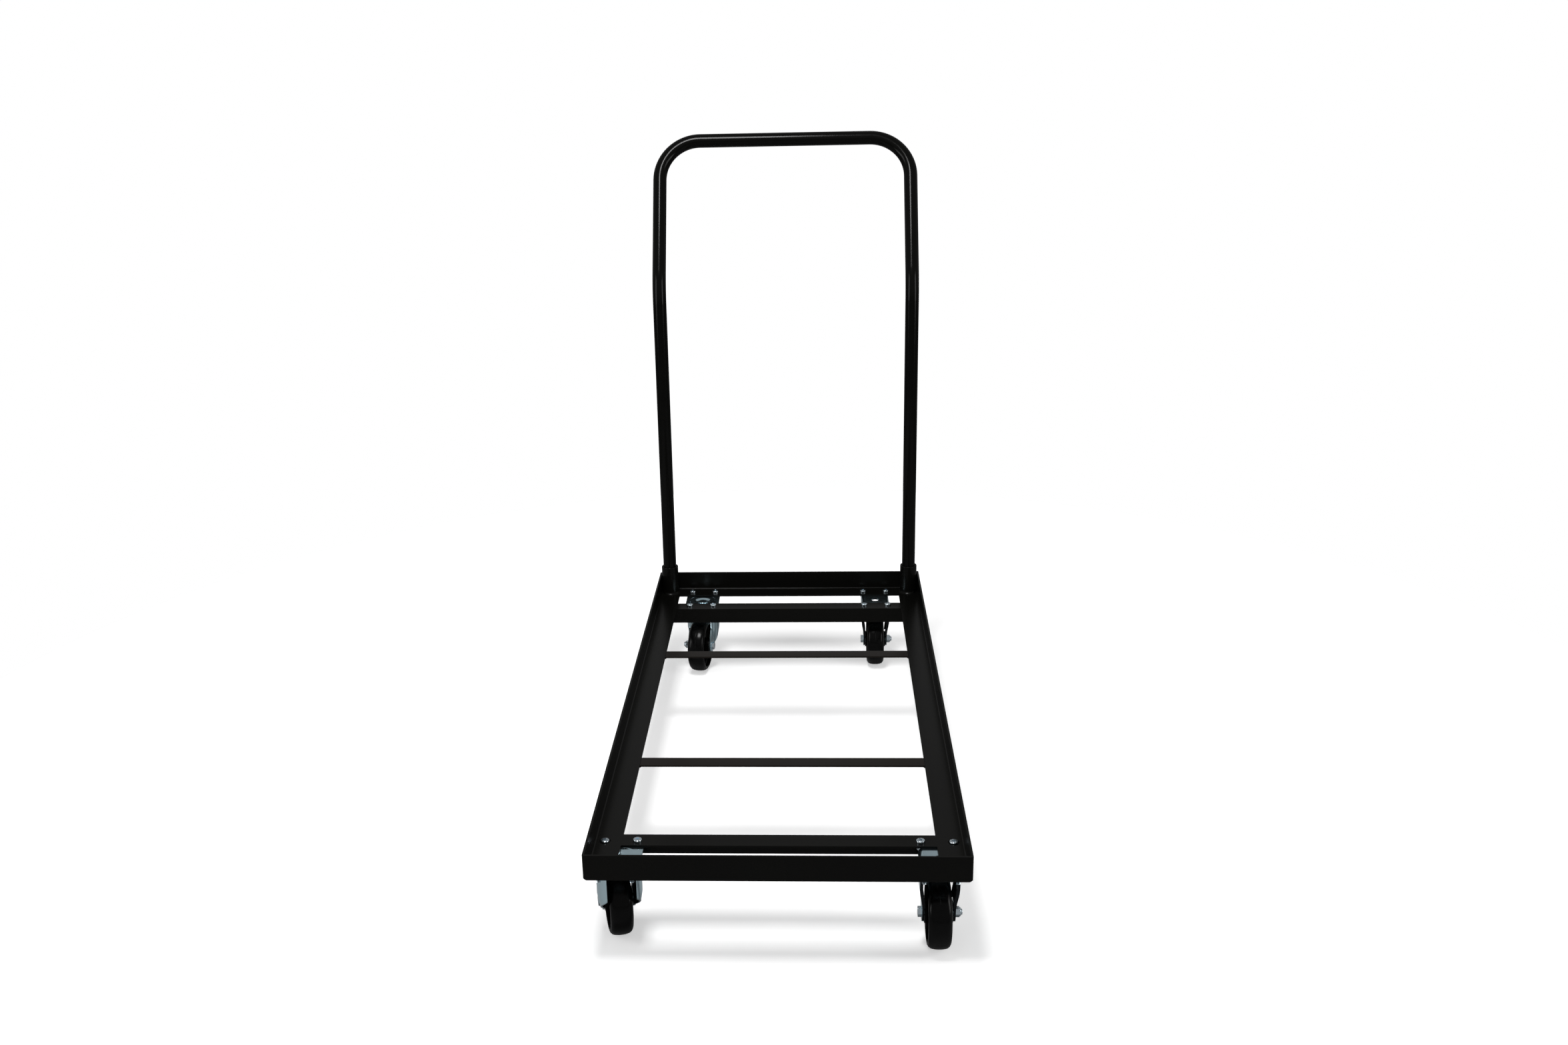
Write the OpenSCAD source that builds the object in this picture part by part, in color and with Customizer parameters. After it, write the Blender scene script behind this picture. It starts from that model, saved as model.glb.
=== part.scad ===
// Stacking chair trolley: a welded angle steel bed on four bolted casters, with a lift-out tube handle.
// Millimetres, +Z up. The origin is on the floor, under the middle of the whole trolley's plan.

/* [Frame] */
// Width of the bed over its side rails
frame_w = 510; // [440:1:700]
// Length of the bed over its end rails
frame_l = 1084; // [800:1:1500]
// Height of the rails' upright flanges
rail_h = 37; // [28:1:60]
// Width of the rails' level flanges
rail_flange = 40; // [34:1:60]
// Thickness of the angle steel and of the flat bars
steel_t = 3; // [2:0.5:4]
// Radius in the root of each angle
root_r = 2; // [1:0.5:4]
// Width of the cross angles' level flanges
cross_flange = 30; // [24:1:45]
// Depth of the cross angles' hanging flanges
cross_h = 28; // [20:1:32]
// Length of a hanging flange that runs on under each side rail
cross_lap = 25; // [10:1:30]
// Width of the flat deck bars
bar_w = 26; // [20:1:60]
// Distance between the middles of the two deck bars
bar_pitch = 416; // [200:1:560]

/* [Handle] */
// Outside diameter of the handle tube
tube_d = 25; // [20:0.5:32]
// Wall of the handle tube
tube_wall = 1.5; // [1:0.1:3]
// Length of each upright, from its lower end to the bend
upright_l = 603; // [350:1:800]
// Length of the leaning part, from the bend to the middle of the top tube
lean_l = 284; // [180:1:400]
// Angle at which the upper part leans back
lean = 26.5; // [10:0.5:40]
// Radius of the bend in the uprights, at the tube's middle
bend_r = 130; // [60:1:180]
// Radius of the top corners, at the tube's middle
corner_r = 75; // [40:1:120]
// Height of the sockets above the rail flange
socket_h = 55; // [30:1:100]
// Wall of the sockets
socket_wall = 3; // [2:0.5:5]
// Slide clearance of the tube in its sockets, on the radius
socket_gap = 0.5; // [0.3:0.1:1]

/* [Casters] */
// Height of a caster from the floor to the top of its plate
caster_h = 132; // [125:1:180]
// Diameter of the wheels
wheel_d = 100; // [80:1:110]
// Width of the wheels' tread
wheel_w = 32; // [24:1:36]
// Length of the caster plates, along the trolley
plate_l = 92; // [88:1:110]
// Width of the caster plates
plate_w = 64; // [60:1:80]
// Thickness of the caster plates and forks
plate_t = 2.5; // [2:0.1:3]
// Bolt spacing across the trolley
bolt_dx = 45; // [42:0.5:50]
// Bolt spacing along the trolley
bolt_dy = 73; // [70:0.5:80]
// Distance from the bed's ends to the nearer bolts
end_edge = 23.5; // [18:0.5:28]
// Distance from a cross angle's edge to its bolts
cross_edge = 11.5; // [9:0.5:14]
// Distance from the bed's sides to the outer bolts of the front casters
front_side_edge = 16.5; // [14:0.5:26]
// Distance from the bed's sides to the outer bolts of the rear casters
rear_side_edge = 64.5; // [56:0.5:120]
// Trail of the swivel forks, from the kingpin to the axle
trail = 30; // [20:1:40]
// Angle of the front left fork about its kingpin, 0 with the wheel straight behind it
front_left_turn = 14.5; // [-180:0.5:180]
// Angle of the rear left fork about its kingpin
rear_left_turn = 171; // [-180:0.5:180]
// Outside width of the rigid forks at the top
fork_w = 53.5; // [51:0.5:60]
// Clear width between the fork legs at the axle
leg_gap = 40; // [38:0.5:43]
// Gap between the wheel's hub and each leg
hub_gap = 0.5; // [0.3:0.1:1]
// Diameter of the axle bolts
axle_d = 8; // [6:0.5:10]
// Wall of the sleeves that the wheels turn on
sleeve_wall = 1.8; // [1:0.1:3]
// Running clearance of a turning fit, on the radius
running_gap = 0.05; // [0.02:0.01:0.1]

/* [Fasteners] */
// Thread diameter of the caster bolts
bolt_d = 6; // [5:0.5:8]
// Length of the caster bolts under the head
bolt_l = 20; // [17:1:24]
// Diameter of the bolts' pan heads
head_d = 12.5; // [11:0.5:14]
// Height of the pan heads
head_h = 4.2; // [3.6:0.1:6]
// Width across the flats of the caster nuts
nut_af = 10; // [9:0.5:11]
// Height of the caster nuts
nut_h = 6; // [4:0.5:8]
// Width across the flats of the axle bolts and nuts
axle_af = 13; // [11:0.5:16]
// Height of the axle bolts' heads
axle_head_h = 5.3; // [4:0.1:7]
// Height of the axle nuts
axle_nut_h = 8; // [5:0.5:10]

/* [Hidden] */
$fn = 64;

// Colours of the finishes
frame_black = "#2b2926";
tube_black = "#1c1b1a";
zinc = "#c3cbd1";
bright_zinc = "#d8dde0";
wheel_black = "#1d1e20";

// Overrun of every cut past the face that it opens
cut = 1;

// Small clearances and seats
seat_gap = 0.3;
hole_gap = 0.3;
thread_gap = 0.05;

// Plan of the bed: the handle's lean reaches behind the rear rail
socket_d = tube_d + 2 * (socket_gap + socket_wall);
socket_inset = steel_t + root_r + socket_d / 2;
handle_reach = lean_l * sin(lean) + tube_d / 2 - socket_inset;
y_front = -(frame_l + handle_reach) / 2;
y_back = y_front + frame_l;
bed_y = (y_front + y_back) / 2;
deck_z = caster_h;
flange_top = deck_z + steel_t;
inner_w = frame_w - 2 * rail_flange;

// Handle places
handle_x = frame_w / 2 - socket_inset;
handle_y = y_back - socket_inset;
handle_foot = flange_top + seat_gap;
bend_z = handle_foot + upright_l - bend_r * tan(lean / 2);
lean_run = lean_l - bend_r * tan(lean / 2) - corner_r;

// The leaning part is a hair fatter than the bend, whose end it laps over
lean_swell = 0.06;
lean_lap = 1;

// Caster places
front_x = frame_w / 2 - front_side_edge - bolt_dx / 2;
rear_x = frame_w / 2 - rear_side_edge - bolt_dx / 2;
front_y = y_front + end_edge + bolt_dy / 2;
rear_y = y_back - end_edge - bolt_dy / 2;
front_left = [-front_x, front_y];
front_right = [front_x, front_y];
rear_left = [-rear_x, rear_y];
rear_right = [rear_x, rear_y];
casters = [front_left, front_right, rear_left, rear_right];
bolt_places = [
  for (c = casters, sx = [-1, 1], sy = [-1, 1]) c + [sx * bolt_dx / 2, sy * bolt_dy / 2]
];

// Cross angles lie under the casters' inner bolts
front_cross_y = front_y + bolt_dy / 2 - cross_edge + cross_flange;
rear_cross_y = rear_y - bolt_dy / 2 + cross_edge - cross_flange;

// The front casters' bolts that pass through the side rails' flanges sit in spot faces
spot_places = [for (s = [-1, 1]) [s * (front_x + bolt_dx / 2), front_y + bolt_dy / 2]];
spot_gap = 1.5;
spot_d = head_d + 2 * spot_gap;
spot_depth = steel_t / 2;

// Swivel bearing, measured down from the top of the plate
dish_mouth_r = 25.5;
dish_lip = 0.8;
dish_bowl_r = 16;
dish_bowl_depth = 1.4;
dish_floor_r = 12;
dish_depth = 4;
ball_d = 4.7;
ball_count = 24;
ball_pitch_r = dish_mouth_r + ball_d / 2 + 2 * seat_gap;
crown_r = ball_pitch_r + ball_d / 2 + seat_gap + thread_gap;
crown_drop = plate_t + seat_gap + ball_d;
kingpin_d = 11.9;
kingpin_head_d = 18;
kingpin_head_h = 2;
kingpin_dome_r = 60;
kingpin_foot_d = 24;
kingpin_foot_h = 3;

// Fork stampings, with heights above the axle
fork_bend_r = 7;
web_half = 27;
notch_relief = 2;
edge_w = 2;
edge_end_h = 14;
skirt_foot_r = 24;
skirt_bend_h = 30;
ear_start = 11;
swivel_taper_h = 34;
swivel_front = 27;
leg_straight = 25;
leg_end_r = 13;
leg_end_l = 8;
arc_steps = 8;
plate_corner_r = 6;
rigid_hole_d = 14;
axle_drop = caster_h - wheel_d / 2;
skirt_top = -crown_drop - plate_t / 2;
skirt_foot = -axle_drop - leg_end_r;

// Wheel section
shoulder_r = 7;
rim_t = 9;
web_t = 15;
hub_d = 30;
sleeve_d = axle_d + 2 * (hole_gap / 2 + sleeve_wall);
hub_w = leg_gap - 2 * hub_gap;
axle_tip = 2;

// Weld beads
bead_r = 4;
bead_sweep = 150;
bead_start = -120;
seam_r = 2;

// Pan head dome and recess
head_dome_r = 24;
recess_w = 1.3;
recess_l = 6.2;
recess_depth = 2.4;

// Section of a rolled angle: sharp heel at the origin, rounded root between the flanges
module angle_section(up, across) {
  square([steel_t, up]);
  square([across, steel_t]);
  difference() {
    square(steel_t + root_r);
    translate([steel_t + root_r, steel_t + root_r]) circle(root_r);
  }
}

// Length of rolled angle along X, with its heel on the X axis
module angle_bar(length, up, across) {
  translate([-length / 2, 0, 0]) rotate([90, 0, 90]) linear_extrude(length) angle_section(up, across);
}

// Rail along X with its outer face on the XZ plane and its ends mitred
module mitred_rail(length) {
  intersection() {
    angle_bar(length, rail_h, rail_flange);
    linear_extrude(rail_h) polygon([
      [-length / 2, 0], [length / 2, 0],
      [length / 2 - rail_flange, rail_flange], [-length / 2 + rail_flange, rail_flange]
    ]);
  }
}

// Clearance holes of the caster bolts through the level flanges, with their spot faces
module flange_holes() {
  for (p = bolt_places) {
    translate([p.x, p.y, deck_z - cut]) cylinder(d = bolt_d + 2 * hole_gap, h = steel_t + 2 * cut);
  }
  for (p = spot_places) {
    translate([p.x, p.y, flange_top - spot_depth]) cylinder(d = spot_d, h = spot_depth + cut);
  }
}

module front_rail() {
  color(frame_black) difference() {
    translate([0, y_front, deck_z]) mitred_rail(frame_w);
    flange_holes();
  }
}

module rear_rail() {
  color(frame_black) difference() {
    translate([0, y_back, deck_z]) rotate(180) mitred_rail(frame_w);
    flange_holes();
  }
}

// Side rail: side is -1 on the left and 1 on the right
module side_rail(side) {
  color(frame_black) difference() {
    translate([side * frame_w / 2, bed_y, deck_z]) rotate(side * 90) mitred_rail(frame_l);
    flange_holes();
  }
}

// Cross angle: the level flange lies towards the near end of the bed, the other one hangs and is longer
module cross_angle(heel_y, turn) {
  hanging_l = inner_w + 2 * cross_lap;
  color(frame_black) difference() {
    translate([0, heel_y, flange_top]) rotate(turn) mirror([0, 0, 1]) {
      angle_bar(inner_w, cross_h, cross_flange);
      translate([-hanging_l / 2, 0, steel_t]) cube([hanging_l, steel_t, cross_h - steel_t]);
    }
    flange_holes();
  }
}

module deck_bar(middle_y) {
  color(frame_black) translate([-inner_w / 2, middle_y - bar_w / 2, deck_z]) cube([inner_w, bar_w, steel_t]);
}

module handle_socket(side) {
  color(frame_black) translate([side * handle_x, handle_y, flange_top]) difference() {
    cylinder(d = socket_d, h = socket_h);
    translate([0, 0, -cut]) cylinder(d = socket_d - 2 * socket_wall, h = socket_h + 2 * cut);
  }
}

// Fillet bead round the open side of a socket's foot
module socket_bead() {
  rotate(bead_start) rotate_extrude(angle = bead_sweep) translate([socket_d / 2, 0]) difference() {
    square(bead_r);
    translate([bead_r, bead_r]) circle(bead_r);
  }
}

module socket_welds() {
  color(frame_black) {
    translate([-handle_x, handle_y, flange_top]) socket_bead();
    translate([handle_x, handle_y, flange_top]) mirror([1, 0, 0]) socket_bead();
  }
}

// Half-round seam under the joint of a cross piece and a side rail
module seam(middle_y, length) {
  for (s = [-1, 1]) {
    translate([s * inner_w / 2, middle_y - length / 2, deck_z]) rotate([-90, 0, 0]) intersection() {
      cylinder(r = seam_r, h = length);
      translate([-seam_r, 0, 0]) cube([2 * seam_r, seam_r, length]);
    }
  }
}

module frame_welds() {
  color(frame_black) {
    seam(bed_y - bar_pitch / 2, bar_w - 2 * seam_r);
    seam(bed_y + bar_pitch / 2, bar_w - 2 * seam_r);
    cross_seam = cross_flange - steel_t - root_r - 2 * seam_r;
    seam(rear_cross_y + steel_t + root_r + seam_r + cross_seam / 2, cross_seam);
  }
}

// Solid rod along the handle's path, run past both lower ends by overrun
module handle_rod(d, overrun) {
  upright_h = bend_z - handle_foot;
  lean_d = d + lean_swell;
  elbow = [0, handle_y + bend_r * (1 - cos(lean)), bend_z + bend_r * sin(lean)];
  for (s = [0, 1]) mirror([s, 0, 0]) {
    translate([handle_x, handle_y, handle_foot - overrun]) cylinder(d = d, h = upright_h + overrun);
    translate([handle_x, handle_y + bend_r, bend_z]) rotate([90, 0, -90])
      rotate_extrude(angle = lean) translate([bend_r, 0]) circle(d = d);
    translate(elbow) rotate([-lean, 0, 0]) {
      translate([handle_x, 0, -lean_lap]) cylinder(d = lean_d, h = lean_run + lean_lap);
      translate([handle_x - corner_r, 0, lean_run]) rotate([90, 0, 0])
        rotate_extrude(angle = 90) translate([corner_r, 0]) circle(d = lean_d);
    }
  }
  translate(elbow) rotate([-lean, 0, 0]) translate([-(handle_x - corner_r), 0, lean_run + corner_r])
    rotate([0, 90, 0]) cylinder(d = lean_d, h = 2 * (handle_x - corner_r));
}

module push_handle() {
  color(tube_black) difference() {
    handle_rod(tube_d, 0);
    handle_rod(tube_d - 2 * tube_wall, cut);
  }
}

// Pan head bolt with a cross recess, seated on z = 0
module pan_bolt() {
  translate([0, 0, -bolt_l]) cylinder(d = bolt_d, h = bolt_l);
  difference() {
    intersection() {
      cylinder(d = head_d, h = head_h);
      translate([0, 0, head_h - head_dome_r]) sphere(head_dome_r);
    }
    for (turn = [0, 90]) {
      rotate(turn) translate([-recess_l / 2, -recess_w / 2, head_h - recess_depth])
        cube([recess_l, recess_w, recess_depth + cut]);
    }
  }
}

// Height at which a caster bolt's head is seated
function seat_z(p) =
  min([for (q = spot_places) norm(q - p)]) < head_d ? flange_top - spot_depth : flange_top;

module caster_bolts() {
  color(bright_zinc) for (p = bolt_places) translate([p.x, p.y, seat_z(p)]) pan_bolt();
}

// Hexagon with a given width across its flats, and a round bore
module hex_nut(af, height, bore_d) {
  difference() {
    cylinder(d = af / cos(30), h = height, $fn = 6);
    translate([0, 0, -cut]) cylinder(d = bore_d, h = height + 2 * cut);
  }
}

module caster_nuts() {
  color(bright_zinc) for (p = bolt_places) {
    translate([p.x, p.y, deck_z - plate_t - nut_h]) hex_nut(nut_af, nut_h, bolt_d + 2 * thread_gap);
  }
}

// Rectangle with round corners
module round_plate(w, l, r) {
  square([w - 2 * r, l], center = true);
  square([w, l - 2 * r], center = true);
  for (sx = [-1, 1], sy = [-1, 1]) {
    translate([sx * (w / 2 - r), sy * (l / 2 - r)]) circle(r);
  }
}

module plate_holes() {
  for (sx = [-1, 1], sy = [-1, 1]) {
    translate([sx * bolt_dx / 2, sy * bolt_dy / 2]) circle(d = bolt_d + 2 * hole_gap);
  }
}

// Top plate of a swivel caster, with the pressed dish that holds its ball race
module swivel_plate(place) {
  king_hole_r = kingpin_d / 2 + running_gap;
  dish = [
    [dish_mouth_r, 0], [dish_mouth_r - dish_lip, -dish_lip], [dish_bowl_r, -dish_bowl_depth],
    [dish_floor_r, -dish_depth], [king_hole_r, -dish_depth]
  ];
  underside = [for (p = dish) [p.x, p.y - plate_t]];
  color(zinc) translate([place.x, place.y, deck_z]) {
    translate([0, 0, -plate_t]) linear_extrude(plate_t) difference() {
      round_plate(plate_w, plate_l, plate_corner_r);
      plate_holes();
      circle(dish_mouth_r);
    }
    rotate_extrude() polygon(concat(dish, turned(underside)));
  }
}

// Riveted pin that holds a swivel fork under its plate
module kingpin(place) {
  foot_top = -crown_drop - plate_t - seat_gap;
  foot_bottom = foot_top - kingpin_foot_h;
  color(zinc) translate([place.x, place.y, deck_z]) {
    translate([0, 0, foot_bottom]) cylinder(d = kingpin_d, h = -dish_depth - foot_bottom);
    translate([0, 0, foot_bottom]) cylinder(d = kingpin_foot_d, h = kingpin_foot_h);
    translate([0, 0, -dish_depth]) intersection() {
      cylinder(d = kingpin_head_d, h = kingpin_head_h);
      translate([0, 0, kingpin_head_h - kingpin_dome_r]) sphere(kingpin_dome_r);
    }
  }
}

// Ring of balls between the plate and the fork's crown
module race_balls(place) {
  color(bright_zinc) translate([place.x, place.y, deck_z - crown_drop + ball_d / 2]) {
    for (i = [0 : ball_count - 1]) {
      rotate(i * 360 / ball_count) translate([ball_pitch_r, 0, 0]) sphere(d = ball_d, $fn = 24);
    }
  }
}

// Point where a line from p touches the circle of radius r about c, on its left (-1) or right (1)
function touch_point(p, c, r, side) =
  let (d = p - c, aim = atan2(d.y, d.x) - side * acos(r / norm(d)))
  c + r * [cos(aim), sin(aim)];

// Right side of a rigid fork's front section, off from the sheet's middle: bend, leg, double curve, end
function fork_side(top, axle_z, off) =
  let (
    bend = [fork_w / 2 - fork_bend_r, top - fork_bend_r],
    bend_mid_r = fork_bend_r - plate_t / 2,
    top_x = fork_w / 2 - plate_t / 2,
    end_x = leg_gap / 2 + plate_t / 2,
    curve_top = top - fork_bend_r - leg_straight,
    fall = curve_top - axle_z - leg_end_l,
    swing = 2 * atan((top_x - end_x) / fall),
    curve_r = fall / (2 * sin(swing)),
    upper = [top_x - curve_r, curve_top],
    lower = [end_x + curve_r, axle_z + leg_end_l]
  )
  concat(
    [for (i = [0 : arc_steps]) let (a = 90 - 90 * i / arc_steps)
      bend + (bend_mid_r + off) * [cos(a), sin(a)]],
    [for (i = [0 : arc_steps]) let (a = swing * i / arc_steps)
      upper + (curve_r + off) * [cos(a), -sin(a)]],
    [for (i = [1 : arc_steps]) let (a = swing - swing * i / arc_steps)
      lower + (curve_r - off) * [-cos(a), sin(a)]],
    [[end_x + off, axle_z - leg_end_r]]
  );

// Points in the opposite order, and points mirrored to the left side
function turned(points) = [for (i = [len(points) - 1 : -1 : 0]) points[i]];
function mirrored(points) = [for (p = points) [-p.x, p.y]];

// Front section of a rigid fork at its edges: flat top with a leg folded down at each side
module fork_section(top, axle_z) {
  outer = fork_side(top, axle_z, plate_t / 2);
  inner = fork_side(top, axle_z, -plate_t / 2 - edge_w);
  polygon(concat(outer, turned(inner), mirrored(inner), turned(mirrored(outer))));
}

// Front section of the space between the legs of a rigid fork, out to the sheet
module fork_hollow(top, axle_z) {
  inner = fork_side(top, axle_z, -plate_t / 2);
  polygon(concat(inner, turned(mirrored(inner))));
}

// Side outline of the legs: upright at the top, tapering from taper_z to a round end about the axle
module leg_outline(back, front, taper_z, axle, end_r) {
  polygon([
    [back, 0], [back, taper_z],
    touch_point([back, taper_z], axle, end_r, -1), touch_point([front, taper_z], axle, end_r, 1),
    [front, taper_z], [front, 0]
  ]);
  translate(axle) circle(end_r);
}

// Children cut to the legs' side outline, with the axle hole
module cut_legs(back, front, taper_z, axle) {
  wide = 2 * plate_w;
  difference() {
    intersection() {
      children();
      translate([-wide / 2, 0, 0]) rotate([90, 0, 90]) linear_extrude(wide)
        leg_outline(back, front, taper_z, axle, leg_end_r);
    }
    translate([-wide / 2, axle.x, axle.y]) rotate([0, 90, 0]) cylinder(d = axle_d + hole_gap, h = wide);
  }
}

// Side of a swivel fork's drawn skirt, inset by a given amount, down from inside the crown
function skirt_side(inset) = [
  [crown_r - inset, skirt_top],
  [crown_r - inset, -axle_drop + skirt_bend_h],
  [skirt_foot_r - inset, skirt_foot]
];

module skirt() {
  rotate_extrude() polygon(concat(skirt_side(0), turned(skirt_side(plate_t))));
}

// Space inside the skirt
module skirt_core() {
  rotate_extrude() polygon(concat([[0, skirt_top]], skirt_side(plate_t), [[0, skirt_foot]]));
}

// Flat ears beside the wheel, which run from the skirt to the axle
module swivel_ears() {
  ear_l = trail + leg_end_r - ear_start;
  ear_h = swivel_taper_h + leg_end_r;
  difference() {
    for (s = [0, 1]) mirror([s, 0, 0]) {
      translate([leg_gap / 2, ear_start, skirt_foot]) cube([plate_t, ear_l, ear_h]);
    }
    skirt_core();
  }
}

// Swivel fork: a drawn cup with a crown disc, opened for the wheel into two legs, turned about the kingpin
module swivel_fork(place, turn) {
  long = 4 * crown_r;
  color(zinc) translate([place.x, place.y, deck_z]) rotate(turn) difference() {
    union() {
      translate([0, 0, -crown_drop - plate_t]) cylinder(r = crown_r, h = plate_t);
      difference() {
        cut_legs(-crown_r, swivel_front, -axle_drop + swivel_taper_h, [trail, -axle_drop]) {
          union() {
            skirt();
            swivel_ears();
          }
        }
        translate([-leg_gap / 2, -long / 2, -caster_h]) cube([leg_gap, long, caster_h]);
      }
    }
    translate([0, 0, -crown_drop - plate_t - cut])
      cylinder(d = kingpin_d + 2 * running_gap, h = plate_t + 2 * cut);
  }
}

// Child drawn from the front, pulled out along Y
module along_trolley(length) {
  translate([0, length / 2, 0]) rotate([90, 0, 0]) linear_extrude(length) children();
}

// Web and legs of a rigid fork, whose edges are turned in
module rigid_legs() {
  axle = [0, -axle_drop];
  inset = web_half - plate_t;
  difference() {
    cut_legs(-web_half, web_half, -fork_bend_r, axle) {
      along_trolley(plate_l) fork_section(0, -axle_drop);
    }
    intersection() {
      along_trolley(plate_l) fork_hollow(0, -axle_drop);
      translate([-plate_w, 0, 0]) rotate([90, 0, 90]) linear_extrude(2 * plate_w) {
        leg_outline(-inset, inset, -fork_bend_r, axle, leg_end_r - plate_t);
        translate([-plate_l / 2, -caster_h]) square([plate_l, caster_h - axle_drop + edge_end_h]);
      }
    }
  }
}

// Rigid fork stamped in one piece with its plate, which is notched beside the legs
module rigid_fork(place) {
  notch_x = fork_w / 2 - fork_bend_r;
  notch_l = 2 * (web_half + notch_relief);
  color(zinc) translate([place.x, place.y, deck_z]) {
    difference() {
      union() {
        translate([0, 0, -plate_t]) linear_extrude(plate_t) difference() {
          round_plate(plate_w, plate_l, plate_corner_r);
          for (s = [0, 1]) mirror([s, 0]) translate([notch_x, -notch_l / 2]) square([plate_w, notch_l]);
          plate_holes();
        }
        rigid_legs();
      }
      translate([0, 0, -plate_t - cut]) cylinder(d = rigid_hole_d, h = plate_t + 2 * cut);
    }
  }
}

// Places a child at a caster's axle, with the axle along X
module at_axle(place, turn, behind) {
  translate([place.x, place.y, 0]) rotate(turn) translate([0, behind, wheel_d / 2]) rotate([0, 90, 0])
    children();
}

// Axle bolt along Z: its head on the low side, its tip past the nut on the high side
module axle_bolt() {
  leg_face = leg_gap / 2 + plate_t;
  color(zinc) {
    translate([0, 0, -leg_face - axle_head_h]) cylinder(d = axle_af / cos(30), h = axle_head_h, $fn = 6);
    translate([0, 0, -leg_face]) cylinder(d = axle_d, h = 2 * leg_face + axle_nut_h + axle_tip);
  }
}

module axle_nut() {
  color(zinc) translate([0, 0, leg_gap / 2 + plate_t]) hex_nut(axle_af, axle_nut_h, axle_d + 2 * thread_gap);
}

// Steel sleeve clamped between the legs, on which the wheel turns
module sleeve() {
  color(zinc) translate([0, 0, -leg_gap / 2]) difference() {
    cylinder(d = sleeve_d, h = leg_gap);
    translate([0, 0, -cut]) cylinder(d = axle_d + hole_gap, h = leg_gap + 2 * cut);
  }
}

// Half section of a wheel: rim with round shoulders, web and hub
module wheel_section() {
  rim_r = wheel_d / 2;
  bore_r = sleeve_d / 2 + running_gap;
  translate([rim_r - rim_t, -wheel_w / 2]) square([rim_t - shoulder_r, wheel_w]);
  translate([rim_r - shoulder_r, -wheel_w / 2 + shoulder_r]) square([shoulder_r, wheel_w - 2 * shoulder_r]);
  for (s = [-1, 1]) {
    translate([rim_r - shoulder_r, s * (wheel_w / 2 - shoulder_r)]) circle(shoulder_r);
  }
  translate([hub_d / 2, -web_t / 2]) square([rim_r - rim_t - hub_d / 2, web_t]);
  translate([bore_r, -hub_w / 2]) square([hub_d / 2 - bore_r, hub_w]);
}

module wheel() {
  color(wheel_black) rotate_extrude($fn = 96) wheel_section();
}

front_rail();
rear_rail();
side_rail(-1);  // left_rail
side_rail(1);  // right_rail
cross_angle(front_cross_y, 180);  // front_cross_angle
cross_angle(rear_cross_y, 0);  // rear_cross_angle
deck_bar(bed_y - bar_pitch / 2);  // front_deck_bar
deck_bar(bed_y + bar_pitch / 2);  // rear_deck_bar
handle_socket(-1);  // left_handle_socket
handle_socket(1);  // right_handle_socket
socket_welds();
frame_welds();
push_handle();
caster_bolts();
caster_nuts();
swivel_plate(front_left);  // front_left_plate
kingpin(front_left);  // front_left_kingpin
race_balls(front_left);  // front_left_balls
swivel_fork(front_left, front_left_turn);  // front_left_fork
at_axle(front_left, front_left_turn, trail) axle_bolt();  // front_left_axle_bolt
at_axle(front_left, front_left_turn, trail) axle_nut();  // front_left_axle_nut
at_axle(front_left, front_left_turn, trail) sleeve();  // front_left_sleeve
at_axle(front_left, front_left_turn, trail) wheel();  // front_left_wheel
swivel_plate(rear_left);  // rear_left_plate
kingpin(rear_left);  // rear_left_kingpin
race_balls(rear_left);  // rear_left_balls
swivel_fork(rear_left, rear_left_turn);  // rear_left_fork
at_axle(rear_left, rear_left_turn, trail) axle_bolt();  // rear_left_axle_bolt
at_axle(rear_left, rear_left_turn, trail) axle_nut();  // rear_left_axle_nut
at_axle(rear_left, rear_left_turn, trail) sleeve();  // rear_left_sleeve
at_axle(rear_left, rear_left_turn, trail) wheel();  // rear_left_wheel
rigid_fork(front_right);  // front_right_fork
at_axle(front_right, 0, 0) axle_bolt();  // front_right_axle_bolt
at_axle(front_right, 0, 0) axle_nut();  // front_right_axle_nut
at_axle(front_right, 0, 0) sleeve();  // front_right_sleeve
at_axle(front_right, 0, 0) wheel();  // front_right_wheel
rigid_fork(rear_right);  // rear_right_fork
at_axle(rear_right, 0, 0) axle_bolt();  // rear_right_axle_bolt
at_axle(rear_right, 0, 0) axle_nut();  // rear_right_axle_nut
at_axle(rear_right, 0, 0) sleeve();  // rear_right_sleeve
at_axle(rear_right, 0, 0) wheel();  // rear_right_wheel
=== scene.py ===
# %% [markdown]
# A stacking chair trolley
# The trolley is a welded bed of black angle steel on four casters, with a push handle of bent tube that
# stands in two sockets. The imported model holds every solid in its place. This script draws each visible
# piece again with softer edges and smooth curves, gives it a finish, and lights it as in a studio.

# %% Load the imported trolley
import math

import bmesh
import bpy
from mathutils import Matrix, Vector


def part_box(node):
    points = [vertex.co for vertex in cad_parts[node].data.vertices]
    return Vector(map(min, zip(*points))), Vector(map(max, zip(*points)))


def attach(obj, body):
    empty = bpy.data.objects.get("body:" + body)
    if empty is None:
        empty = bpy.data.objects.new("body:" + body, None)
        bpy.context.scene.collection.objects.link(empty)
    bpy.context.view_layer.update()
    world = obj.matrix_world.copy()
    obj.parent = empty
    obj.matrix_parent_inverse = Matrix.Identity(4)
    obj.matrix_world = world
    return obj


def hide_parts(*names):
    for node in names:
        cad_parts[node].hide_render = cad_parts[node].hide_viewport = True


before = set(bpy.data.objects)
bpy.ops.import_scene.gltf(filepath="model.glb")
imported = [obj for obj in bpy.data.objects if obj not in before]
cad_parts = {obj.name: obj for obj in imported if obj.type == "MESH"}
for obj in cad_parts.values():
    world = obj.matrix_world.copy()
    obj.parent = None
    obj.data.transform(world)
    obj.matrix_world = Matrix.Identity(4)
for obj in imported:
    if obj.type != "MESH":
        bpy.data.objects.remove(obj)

scene = bpy.context.scene
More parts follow.
